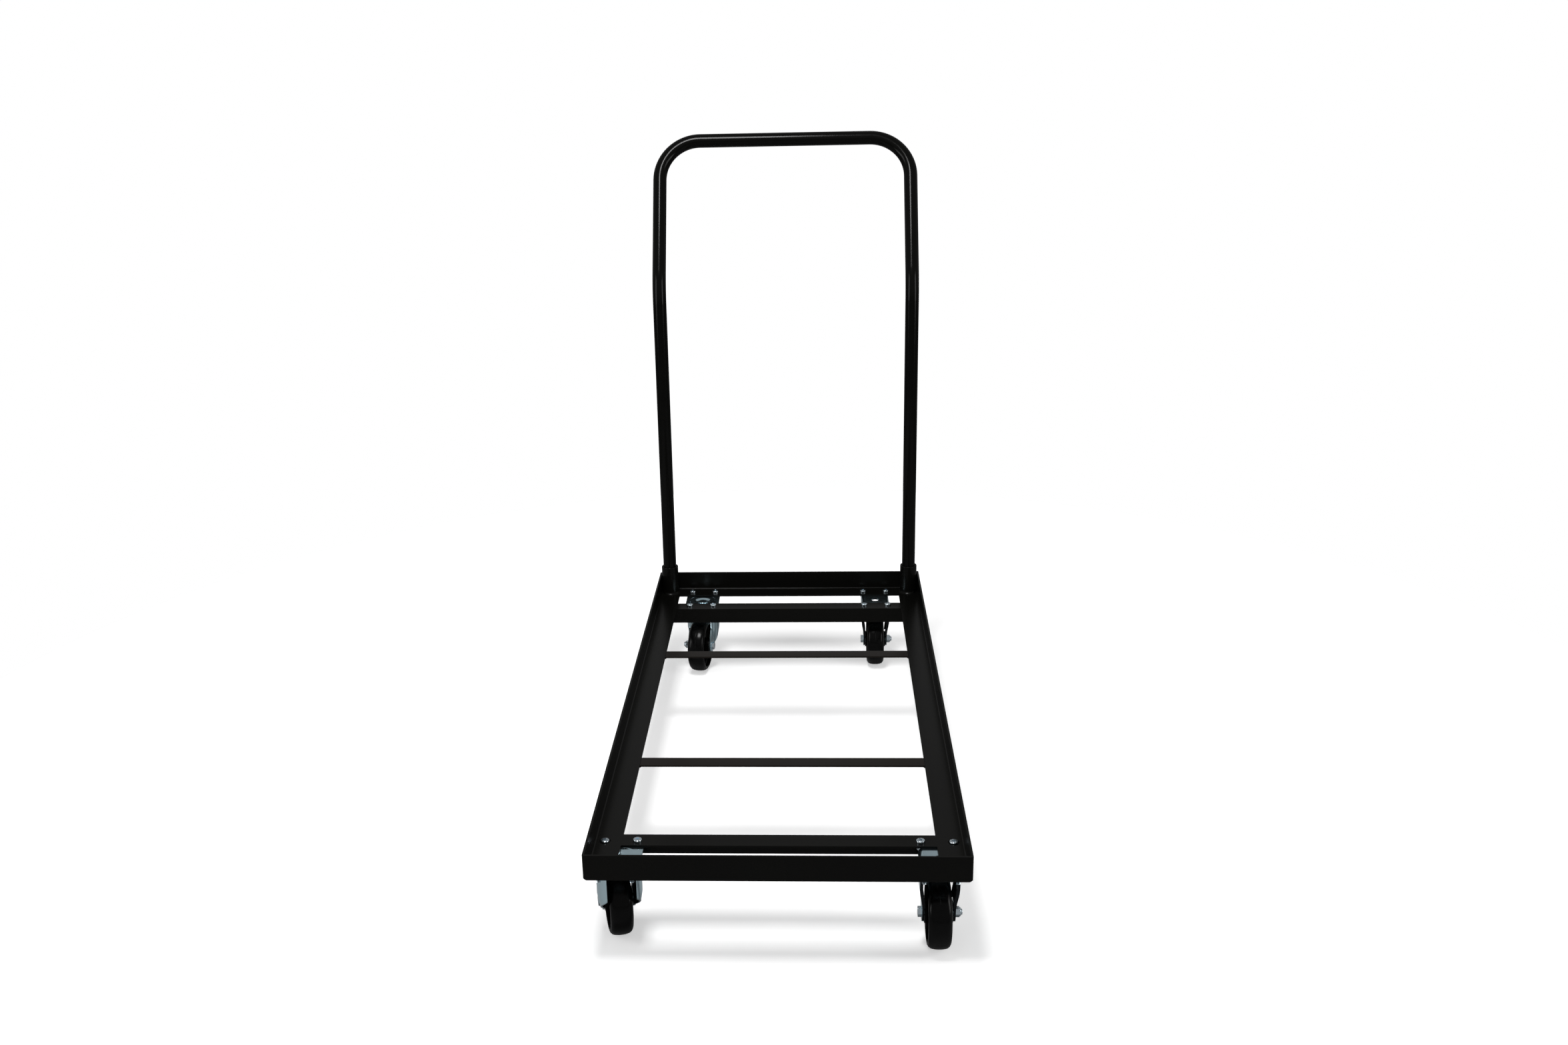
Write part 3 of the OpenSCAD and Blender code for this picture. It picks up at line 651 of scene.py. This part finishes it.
def run(bm, rim, way):
    """Pulls an open rim along a straight way."""
    pulled = bmesh.ops.extrude_edge_only(bm, edges=rim)["geom"]
    bmesh.ops.translate(bm, vec=way, verts=only(bmesh.types.BMVert, pulled))
    return only(bmesh.types.BMEdge, pulled)


def bend(bm, rim, middle, axis, angle, steps):
    """Spins an open rim about the middle of a bend."""
    spun = bmesh.ops.spin(bm, geom=rim, cent=middle, axis=axis, angle=angle, steps=steps)
    return only(bmesh.types.BMEdge, spun["geom_last"])


bm = bmesh.new()
foot = Vector((-HANDLE_X, HANDLE_Y, handle_low.z))
bmesh.ops.create_circle(bm, cap_ends=False, radius=TUBE_R, segments=40, matrix=Matrix.Translation(foot))
first = bm.edges[:]
upright = Vector((0, 0, bend_z - handle_low.z))
kink = Vector((0, HANDLE_Y + BEND_R, bend_z))
rim = run(bm, first, upright)
rim = bend(bm, rim, kink, (1, 0, 0), -LEAN, BEND_STEPS)
rim = run(bm, rim, lean_way * lean_run)
to_corner = Vector((HANDLE_X - CORNER_R, 0, 0))
rim = bend(bm, rim, corner_mid - to_corner, corner_axis, math.pi / 2, CORNER_STEPS)
rim = run(bm, rim, 2 * to_corner)
rim = bend(bm, rim, corner_mid + to_corner, corner_axis, math.pi / 2, CORNER_STEPS)
rim = run(bm, rim, -lean_way * lean_run)
rim = bend(bm, rim, kink, (1, 0, 0), LEAN, BEND_STEPS)
rim = run(bm, rim, -upright)
bore_share = 1 - TUBE_WALL / TUBE_R
for edges, x in ((first, -HANDLE_X), (rim, HANDLE_X)):
    pulled = bmesh.ops.extrude_edge_only(bm, edges=edges)["geom"]
    bmesh.ops.scale(bm, vec=(bore_share, bore_share, 1), verts=only(bmesh.types.BMVert, pulled),
                    space=Matrix.Translation((-x, -HANDLE_Y, 0)))
    bore = run(bm, only(bmesh.types.BMEdge, pulled), Vector((0, 0, BORE_DEPTH)))
    bmesh.ops.contextual_create(bm, geom=bore)
new_piece(bm, "push_handle_tube", "handle", ["push_handle"], handle_paint)

# %% [markdown]
# Pan head bolts
# Each caster is held by four bolts with low domed heads and a cross recess for the driver. The head and the
# shank are one spun outline. The recess is a small square pulled out to a cross, bridged to the dome's ring
# and sunk. The shank's rings follow the thread in steps, since its helix is far too fine to show.

# %% Draw the caster bolts
BOLT_R, BOLT_L = 3, 20
TIP_EASE, SEAT_EASE = 0.8, 0.3
HEAD_H, DOME_R = 4.2, 24
RIM_R, RIM_STEPS = 1.4, 5
RECESS_W, RECESS_L, RECESS_DEPTH, RECESS_TAPER = 1.5, 5.8, 2.2, 0.75
DOME_RING = 3.8
THREAD, THREAD_DEPTH = 1.0, 0.35
LEAD_IN, PLAIN_L = 1, 6
FIRST_TURN, NEXT_TURN = 20, 37


def dome_z(r):
    """Height of the bolt's dome at a radius."""
    return HEAD_H - DOME_R + math.sqrt(DOME_R ** 2 - r ** 2)


def bolt_outline():
    """Half outline of a bolt, from the tip of its shank to the ring round its recess."""
    outline = [(0, -BOLT_L), (BOLT_R - TIP_EASE, -BOLT_L), (BOLT_R, -BOLT_L + TIP_EASE)]
    for turn in range(int((BOLT_L - PLAIN_L) / THREAD)):
        z = -BOLT_L + LEAD_IN + turn * THREAD
        outline += [(BOLT_R - THREAD_DEPTH, z + THREAD / 2), (BOLT_R, z + THREAD)]
    outline += [(BOLT_R, 0), (HEAD_R - SEAT_EASE, 0), (HEAD_R, SEAT_EASE)]
    rim_low = dome_z(HEAD_R - RIM_R) - RIM_R
    for step in range(RIM_STEPS + 1):
        angle = math.pi / 2 * step / RIM_STEPS
        outline.append((HEAD_R - RIM_R + RIM_R * math.cos(angle), rim_low + RIM_R * math.sin(angle)))
    outline.append((DOME_RING, dome_z(DOME_RING)))
    return outline


def pan_bolt():
    """Pan head bolt seated on z = 0."""
    bm = bmesh.new()
    points = [bm.verts.new((r, 0, z)) for r, z in bolt_outline()]
    for start, end in zip(points, points[1:]):
        bm.edges.new((start, end))
    bmesh.ops.spin(bm, geom=bm.verts[:] + bm.edges[:], cent=(0, 0, 0), axis=(0, 0, 1),
                   angle=math.tau, steps=32, use_merge=True)
    bmesh.ops.remove_doubles(bm, verts=bm.verts[:], dist=MERGE)
    ring = [e for e in bm.edges if e.is_boundary]
    square = bmesh.ops.create_grid(bm, x_segments=1, y_segments=1, size=RECESS_W / 2,
                                   matrix=Matrix.Translation((0, 0, HEAD_H)))["verts"]
    arm = (RECESS_L - RECESS_W) / 2
    for edge in list({e for v in square for e in v.link_edges}):
        way = (edge.verts[0].co + edge.verts[1].co) / 2
        way = Vector((way.x, way.y, 0)).normalized() * arm
        tip = only(bmesh.types.BMVert, bmesh.ops.extrude_edge_only(bm, edges=[edge])["geom"])
        bmesh.ops.translate(bm, vec=(way.x, way.y, dome_z(RECESS_L / 2) - HEAD_H), verts=tip)
    cross = [f for f in bm.faces if f.calc_center_median().z > dome_z(DOME_RING)]
    lip = [e for f in cross for e in f.edges if e.is_boundary]
    bmesh.ops.bridge_loops(bm, edges=ring + lip)
    sunk = only(bmesh.types.BMVert, pull(bm, cross))
    bmesh.ops.translate(bm, vec=(0, 0, -RECESS_DEPTH), verts=sunk)
    bmesh.ops.scale(bm, vec=(RECESS_TAPER, RECESS_TAPER, 1), verts=sunk)
    return bm


caster_places = [(-FRONT_X, FRONT_Y), (FRONT_X, FRONT_Y), (-REAR_X, REAR_Y), (REAR_X, REAR_Y)]
bolt_places = [(x + sx * BOLT_DX / 2, y + sy * BOLT_DY / 2)
               for x, y in caster_places for sx in (-1, 1) for sy in (-1, 1)]
bolt_seats = []
for number, (x, y) in enumerate(bolt_places):
    in_spot = abs(x) > FRONT_X and abs(y - FRONT_Y - BOLT_DY / 2) < 1
    seat = FLANGE_TOP - SPOT_DEPTH if in_spot else FLANGE_TOP
    turn = Matrix.Rotation(math.radians(NEXT_TURN * number + FIRST_TURN), 4, "Z")
    bolt_seats.append(Matrix.Translation((x, y, seat)) @ turn)
bm = pan_bolt()
copies(bm, bolt_seats)
new_piece(bm, "caster_pan_bolts", "base", ["caster_bolts"], bright_zinc)

# %% [markdown]
# Nuts and axle bolts
# The nuts are hexagons with a round collar that holds a locking ring. A six sided cone operator gives the
# hexagon, bevelling its points gives the usual chamfer, and the collar and the bore are turned.

# %% Draw the nuts
NUT_FLATS, NUT_H, NUT_TURN = 10, 6, 23
HEX_EDGE = 0.25
POINT_EASE = 0.07
COLLAR_H, COLLAR_SUNK = 1.6, 0.5
COLLAR_SHARE, COLLAR_ROUND = 0.92, 0.6
COLLAR_BORE = 0.6
PLATE_T = 2.5


def hexagon(flats, tall, eased):
    """Hexagonal prism on z = 0 with its points eased."""
    bm = bmesh.new()
    point_r = flats / 2 / math.cos(math.pi / 6)
    bmesh.ops.create_cone(bm, cap_ends=True, segments=6, radius1=point_r, radius2=point_r, depth=tall,
                          matrix=Matrix.Translation((0, 0, tall / 2)))
    bmesh.ops.bevel(bm, geom=bm.verts[:], offset=eased, offset_type="OFFSET", segments=2, profile=0.5,
                    affect="VERTICES", material=-1)
    soften(bm, HEX_EDGE)
    return bm


def join(bm, other):
    """Adds another drawing to this one."""
    mesh = bpy.data.meshes.new("part")
    other.to_mesh(mesh)
    other.free()
    bm.from_mesh(mesh)
    bpy.data.meshes.remove(mesh)


def lock_nut(flats, tall, bore_r, collar_h):
    """Nut on z = 0 with its collar on top."""
    bm = hexagon(flats, tall - collar_h, flats * POINT_EASE)
    collar_r = flats / 2 * COLLAR_SHARE
    foot = tall - collar_h - COLLAR_SUNK
    section = [(bore_r, foot), (collar_r, foot), (collar_r, tall), (bore_r + COLLAR_BORE, tall)]
    join(bm, turned(section, {2: collar_h * COLLAR_ROUND}, steps=32))
    return bm


bm = lock_nut(NUT_FLATS, NUT_H, BOLT_R, COLLAR_H)
upside_down = Matrix.Rotation(math.pi, 4, "X")
nut_seats = []
for number, (x, y) in enumerate(bolt_places):
    turn = Matrix.Rotation(math.radians(NUT_TURN * number), 4, "Z")
    nut_seats.append(Matrix.Translation((x, y, DECK_Z - PLATE_T)) @ turn @ upside_down)
copies(bm, nut_seats)
new_piece(bm, "caster_lock_nuts", "base", ["caster_nuts"], bright_zinc)

# %% [markdown]
# Swivel plates
# A swivel caster turns under its plate on a ring of balls, held by a riveted pin. The plate is a rectangle
# with round corners and a pressed dish. Its outline is filled round a circle, the circle is pulled down to
# the dish's floor, and the whole sheet is then given its thickness.

# %% Draw the swivel plates
PLATE_W, PLATE_L, PLATE_CORNER = 64, 92, 6
PLATE_EDGE = 0.3
DISH_RIM, DISH_MOUTH, DISH_LIP = 26.5, 25.5, 0.8
DISH_BOWL, BOWL_DEPTH = 16, 1.4
DISH_FLOOR, DISH_DEPTH = 12, 4
KING_R = 5.95
DISH_RINGS = (
    (DISH_MOUTH, -0.15), (DISH_MOUTH - DISH_LIP, -DISH_LIP),
    (DISH_BOWL + 1, -BOWL_DEPTH + 0.05), (DISH_BOWL, -BOWL_DEPTH - 0.2),
    (DISH_FLOOR + 0.6, -DISH_DEPTH + 0.4), (DISH_FLOOR - 0.5, -DISH_DEPTH),
    (KING_R, -DISH_DEPTH),
)


def swivel_plate():
    """Pressed plate with its top on z = 0."""
    bm = bmesh.new()
    bmesh.ops.create_grid(bm, x_segments=1, y_segments=1, size=0.5)
    bmesh.ops.scale(bm, vec=(PLATE_W, PLATE_L, 1), verts=bm.verts[:])
    bmesh.ops.bevel(bm, geom=bm.verts[:], offset=PLATE_CORNER, offset_type="OFFSET", segments=6, profile=0.5,
                    affect="VERTICES", material=-1)
    rim = bm.edges[:]
    bmesh.ops.delete(bm, geom=bm.faces[:], context="FACES_ONLY")
    ring = bmesh.ops.create_circle(bm, cap_ends=False, radius=DISH_RIM, segments=64)["verts"]
    hole = list({e for v in ring for e in v.link_edges})
    bmesh.ops.triangle_fill(bm, use_beauty=True, edges=rim + hole)
    here = DISH_RIM
    for radius, z in DISH_RINGS:
        pulled = bmesh.ops.extrude_edge_only(bm, edges=hole)["geom"]
        hole = only(bmesh.types.BMEdge, pulled)
        moved = only(bmesh.types.BMVert, pulled)
        bmesh.ops.scale(bm, vec=(radius / here, radius / here, 1), verts=moved)
        bmesh.ops.translate(bm, vec=(0, 0, z - moved[0].co.z), verts=moved)
        here = radius
    bmesh.ops.recalc_face_normals(bm, faces=bm.faces[:])
    if sum(f.normal.z * f.calc_area() for f in bm.faces) < 0:
        bmesh.ops.reverse_faces(bm, faces=bm.faces[:])
    bmesh.ops.solidify(bm, geom=bm.faces[:], thickness=PLATE_T)
    soften(bm, PLATE_EDGE, sharper_than=60)
    return bm


plate_tops = {"front_left": (-FRONT_X, FRONT_Y, DECK_Z), "rear_left": (-REAR_X, REAR_Y, DECK_Z)}
for caster, top in plate_tops.items():
    bm = swivel_plate()
    zs = [v.co.z for v in bm.verts]
    bmesh.ops.translate(bm, vec=(0, 0, -max(zs)), verts=bm.verts[:])
    print("plate is", round(max(zs) - min(zs), 2), "mm deep")
    place_all(bm, Matrix.Translation(top))
    new_piece(bm, caster + "_swivel_plate", "base", [caster + "_plate"], sheet_zinc)

# %% [markdown]
# Kingpins and balls
# The kingpin is a rivet: its head lies in the dish, nearly flat from the press, and its foot holds the fork.
# Its head is part of a large circle, so the outline follows the circle's formula. The balls are copies of
# one small sphere, turned about the pin.

# %% Draw the kingpins and balls
PIN_HEAD_R, PIN_HEAD_H, PIN_DOME_R = 9, 2, 240
PIN_RINGS = (PIN_HEAD_R, 6, 3, 0)
HEAD_EASE, FOOT_EASE = 0.7, 0.6
FOOT_R, FOOT_H = 12, 3
BALL_R, BALL_COUNT = 2.35, 24
BALL_PITCH = 28.45

for caster, top in plate_tops.items():
    bottom = box_of(caster + "_kingpin")[0].z - DECK_Z
    head = -DISH_DEPTH
    outline = [(0, bottom), (FOOT_R, bottom), (FOOT_R, bottom + FOOT_H), (KING_R, bottom + FOOT_H),
               (KING_R, head), (PIN_HEAD_R, head)]
    dome_middle = head + PIN_HEAD_H - PIN_DOME_R
    outline += [(r, dome_middle + math.sqrt(PIN_DOME_R ** 2 - r ** 2)) for r in PIN_RINGS]
    bm = turned(outline, {1: FOOT_EASE, 2: FOOT_EASE, 6: HEAD_EASE}, steps=48)
    place_all(bm, Matrix.Translation(top))
    new_piece(bm, caster + "_riveted_kingpin", "base", [caster + "_kingpin"], sheet_zinc)

    ball_low = box_of(caster + "_balls")[0]
    bm = bmesh.new()
    bmesh.ops.create_icosphere(bm, subdivisions=2, radius=BALL_R,
                               matrix=Matrix.Translation((BALL_PITCH, 0, ball_low.z + BALL_R - DECK_Z)))
    copies(bm, [Matrix.Translation(top) @ Matrix.Rotation(math.tau * i / BALL_COUNT, 4, "Z")
                for i in range(BALL_COUNT)])
    new_piece(bm, caster + "_race_balls", "base", [caster + "_balls"], bright_zinc)

# %% [markdown]
# Forks
# The rigid casters' forks are stamped from one sheet, with folded legs whose edges are turned in. The swivel
# forks are drawn cups, opened for the wheel. The CAD solids already have every fold and curve, so a copy of
# each is welded from its loose triangles, its flats are joined again, and its edges are rounded. Faces of a
# rigid fork that look along the trolley are marked for painted shade, a darker tone for the shaded floor they
# mirror.

# %% Ease the forks
FORK_EDGE = 0.4
FLAT = math.radians(0.5)
ALONG = 0.8

fork_bodies = {"front_left": "front_left_swivel", "rear_left": "rear_left_swivel",
               "front_right": "base", "rear_right": "base"}
for caster, body in fork_bodies.items():
    node = caster + "_fork"
    bm = bmesh.new()
    bm.from_mesh(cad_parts[node].data)
    bmesh.ops.scale(bm, vec=(1 / MM, 1 / MM, 1 / MM), verts=bm.verts[:])
    bmesh.ops.remove_doubles(bm, verts=bm.verts[:], dist=MERGE)
    bmesh.ops.dissolve_limit(bm, angle_limit=FLAT, use_dissolve_boundaries=False, verts=bm.verts[:],
                             edges=bm.edges[:])
    soften(bm, FORK_EDGE)
    bm.normal_update()
    # Painted shade: faces of a rigid fork that look along the trolley are marked for the dark tone.
    shade_layer = bm.faces.layers.float.new(SHADE_ATTRIBUTE)
    for face in bm.faces:
        face[shade_layer] = body == "base" and abs(face.normal.y) > ALONG
    new_piece(bm, node + "_stamping", body, [node], sheet_zinc)

# %% [markdown]
# Wheel section
# A wheel is spun from half its section: a broad rim with round shoulders, a thinner web and a hub that is
# wider than the rim. The tread is slightly crowned, which gathers each lamp's reflection into a spot, and the
# mould's two halves leave a fine line round its middle.

# %% Helper for the wheels
WHEEL_R, WHEEL_W = 50, 32
SHOULDER, CROWN_R = 7, 65
LINE_W, LINE_DEPTH = 0.5, 0.25
RIM_T, WEB_T = 9, 15
HUB_R, HUB_W = 15, 39
BORE_R = 6
HUB_EDGE, WEB_ROOT, RIM_EDGE = 0.8, 2, 1.2


def wheel():
    """Wheel about Z."""
    rim, half, web, hub = WHEEL_R - RIM_T, WHEEL_W / 2, WEB_T / 2, HUB_W / 2
    flat = half - SHOULDER
    tread = [(WHEEL_R - CROWN_R + math.sqrt(CROWN_R ** 2 - z ** 2) - (0 if z else LINE_DEPTH), z)
             for z in (-half, -flat / 2, -LINE_W, 0, LINE_W, flat / 2, half)]
    section = [(BORE_R, -hub), (HUB_R, -hub), (HUB_R, -web), (rim, -web), (rim, -half), *tread,
               (rim, half), (rim, web), (HUB_R, web), (HUB_R, hub), (BORE_R, hub)]
    rounded = {1: HUB_EDGE, 2: WEB_ROOT, 3: WEB_ROOT, 4: RIM_EDGE, 5: SHOULDER,
               11: SHOULDER, 12: RIM_EDGE, 13: WEB_ROOT, 14: WEB_ROOT, 15: HUB_EDGE}
    return turned(section, rounded, steps=96)


print("wheels are", 2 * WHEEL_R, "mm across and", WHEEL_W, "mm wide")

# %% [markdown]
# Wheels and axles
# Each wheel turns on a sleeve round its axle bolt, between the fork's legs. The line from the wheel's middle
# to the nut's middle gives the axle's way, so the same drawings fit a caster that is turned. The wheel rides
# on the body that rolls. Bolt, nut and sleeve ride on the body that carries it.

# %% Draw the wheels and axles
LEG_GAP = 40
LEG_FACE = LEG_GAP / 2 + PLATE_T
AXLE_R, AXLE_EASE = 4, 0.9
AXLE_FLATS, AXLE_HEAD, AXLE_NUT, AXLE_TIP = 13, 5.3, 8, 2
AXLE_COLLAR = 2
AXLE_SLACK, BORE_SLACK = 0.1, 0.05

wheel_bodies = {"front_left": ("front_left_roller", "front_left_swivel"),
                "rear_left": ("rear_left_roller", "rear_left_swivel"),
                "front_right": ("front_right_roller", "base"),
                "rear_right": ("rear_right_roller", "base")}


def axle_bolt():
    """Axle bolt about Z, its head on the low side."""
    bm = hexagon(AXLE_FLATS, AXLE_HEAD, AXLE_EASE)
    bmesh.ops.translate(bm, vec=(0, 0, -LEG_FACE - AXLE_HEAD), verts=bm.verts[:])
    tip = LEG_FACE + AXLE_NUT + AXLE_TIP
    section = [(0, -LEG_FACE - 1), (AXLE_R, -LEG_FACE - 1), (AXLE_R, tip), (0, tip)]
    join(bm, turned(section, {2: AXLE_EASE}, steps=32))
    return bm


for caster, (roller, carrier) in wheel_bodies.items():
    low, high = box_of(caster + "_wheel")
    nut_low, nut_high = box_of(caster + "_axle_nut")
    centre = (low + high) / 2
    way = (nut_low + nut_high) / 2 - centre
    axle = Vector((way.x, way.y, 0)).normalized()
    at_axle = Matrix.Translation(centre) @ axle.to_track_quat("Z", "Y").to_matrix().to_4x4()
    print(caster, "axle points along", [round(v, 3) for v in axle])
    bm = wheel()
    place_all(bm, at_axle)
    new_piece(bm, caster + "_moulded_wheel", roller, [caster + "_wheel"], wheel_plastic)
    point_up = at_axle @ Matrix.Rotation(math.pi / 6, 4, "Z")
    bm = axle_bolt()
    place_all(bm, point_up)
    new_piece(bm, caster + "_hex_axle", carrier, [caster + "_axle_bolt"], bright_zinc)
    bm = lock_nut(AXLE_FLATS, AXLE_NUT, AXLE_R, AXLE_COLLAR)
    place_all(bm, point_up @ Matrix.Translation((0, 0, LEG_FACE)))
    new_piece(bm, caster + "_axle_lock_nut", carrier, [caster + "_axle_nut"], bright_zinc)
    half, inner, outer = LEG_GAP / 2, AXLE_R + AXLE_SLACK, BORE_R - BORE_SLACK
    bm = turned([(inner, -half), (outer, -half), (outer, half), (inner, half)], {})
    place_all(bm, at_axle)
    new_piece(bm, caster + "_axle_sleeve", carrier, [caster + "_sleeve"], sheet_zinc)

# %% [markdown]
# Lamps
# There is one soft lamp overhead and one at each front corner. They are small enough to draw narrow highlights
# on the tube and large enough to keep the shadows soft. The camera doesn't see the lamps themselves.

# %% Set up the lamps
def soft_box(name, place, target, wide, tall, power):
    """Rectangular lamp aimed at a point."""
    lamp = bpy.data.lights.new(name, "AREA")
    lamp.shape = "RECTANGLE"
    lamp.size, lamp.size_y = wide, tall
    lamp.energy = power
    box = bpy.data.objects.new(name, lamp)
    scene.collection.objects.link(box)
    box.location = place
    box.rotation_euler = (Vector(target) - Vector(place)).to_track_quat("-Z", "Y").to_euler()
    box.visible_camera = False


soft_box("overhead_box", (-0.25, -0.8, 2.68), (-0.1, 0.1, 0.4), 0.5, 0.75, 42)
soft_box("left_box", (-2.1, -0.9, 1.0), (0, 0, 0.5), 0.8, 1.5, 16)
soft_box("right_box", (2.1, -0.9, 1.0), (0, 0, 0.5), 0.8, 1.5, 16)
print("lamps:", [lamp.name for lamp in bpy.data.lights])

# %% [markdown]
# Floor
# The photograph is cut out on white, so the floor adds a glow of its own to the light that falls on it, and
# the trolley's shadow stays on it. Away from the lamps the floor gets less light, so its glow rises towards its
# rim, where it must meet the world's white. Mirrored rays see a greyer floor.

# %% Make the floor
FLOOR_R = 1.6
FLOOR_GLOW, RIM_GLOW = 0.45, 0.95
PAPER, PAPER_MIRRORED = "#e7e7e7", "#9c9c9c"

bm = bmesh.new()
bmesh.ops.create_circle(bm, cap_ends=True, radius=FLOOR_R, segments=96)
floor_mesh = bpy.data.meshes.new("floor")
bm.to_mesh(floor_mesh)
bm.free()
floor = bpy.data.objects.new("floor", floor_mesh)
scene.collection.objects.link(floor)

floor_paper, tree, place = new_finish("white_studio_paper")
light_path = add(tree, "ShaderNodeLightPath")
seen = add(tree, "ShaderNodeMath", {0: light_path.outputs["Is Camera Ray"],
                                    1: light_path.outputs["Is Transmission Ray"]}, operation="ADD")
away = add(tree, "ShaderNodeVectorMath", {0: place}, operation="LENGTH")
white = add(tree, "ShaderNodeMapRange", {
    "Value": away.outputs["Value"], "From Min": FLOOR_R / 3, "From Max": FLOOR_R,
    "To Min": FLOOR_GLOW, "To Max": RIM_GLOW})
shine = add(tree, "ShaderNodeMath", {0: seen.outputs[0], 1: white.outputs[0]}, operation="MULTIPLY")
shade = add(tree, "ShaderNodeMix", {0: light_path.outputs["Is Glossy Ray"], 6: linear(PAPER),
                                    7: linear(PAPER_MIRRORED)}, data_type="RGBA")
paper = add(tree, "ShaderNodeBsdfDiffuse", {"Color": shade.outputs[2]})
glow = add(tree, "ShaderNodeEmission", {"Strength": shine.outputs[0]})
both = add(tree, "ShaderNodeAddShader", {0: paper.outputs[0], 1: glow.outputs[0]})
add(tree, "ShaderNodeOutputMaterial", {"Surface": both.outputs[0]})
floor_mesh.materials.append(floor_paper)
print("floor is", 2 * FLOOR_R, "m across")

# %% [markdown]
# World
# The world is white to the camera and much dimmer as a light, which leaves the modelling to the lamps. A share
# of the white is seen by mirrored rays, so that the metal looks like metal. That share is smaller below the
# horizon, which keeps the rims of the round black tube dark.

# %% Make the world
AMBIENT = 0.25
MIRRORED, MIRRORED_LOW = 0.3, 0.1
HORIZON = 0.1

world = bpy.data.worlds.new("studio")
scene.world = world
world.use_nodes = True
tree = world.node_tree
tree.nodes.clear()
light_path = add(tree, "ShaderNodeLightPath")
seen = add(tree, "ShaderNodeMath", {0: light_path.outputs["Is Camera Ray"],
                                    1: light_path.outputs["Is Transmission Ray"]}, operation="ADD")
white = add(tree, "ShaderNodeMath", {0: seen.outputs[0], 1: 1 - AMBIENT, 2: AMBIENT}, operation="MULTIPLY_ADD")
way = add(tree, "ShaderNodeTexCoord").outputs["Generated"]
height = add(tree, "ShaderNodeSeparateXYZ", {"Vector": way}).outputs["Z"]
share = add(tree, "ShaderNodeMapRange", {
    "Value": height, "From Min": -HORIZON, "From Max": HORIZON,
    "To Min": MIRRORED_LOW - AMBIENT, "To Max": MIRRORED - AMBIENT})
level = add(tree, "ShaderNodeMath", {0: light_path.outputs["Is Glossy Ray"], 1: share.outputs[0],
                                     2: white.outputs[0]}, operation="MULTIPLY_ADD")
sky = add(tree, "ShaderNodeBackground", {"Color": linear("#ffffff"), "Strength": level.outputs[0]})
add(tree, "ShaderNodeOutputWorld", {"Surface": sky.outputs[0]})
print("world lights with", AMBIENT, "of its white")
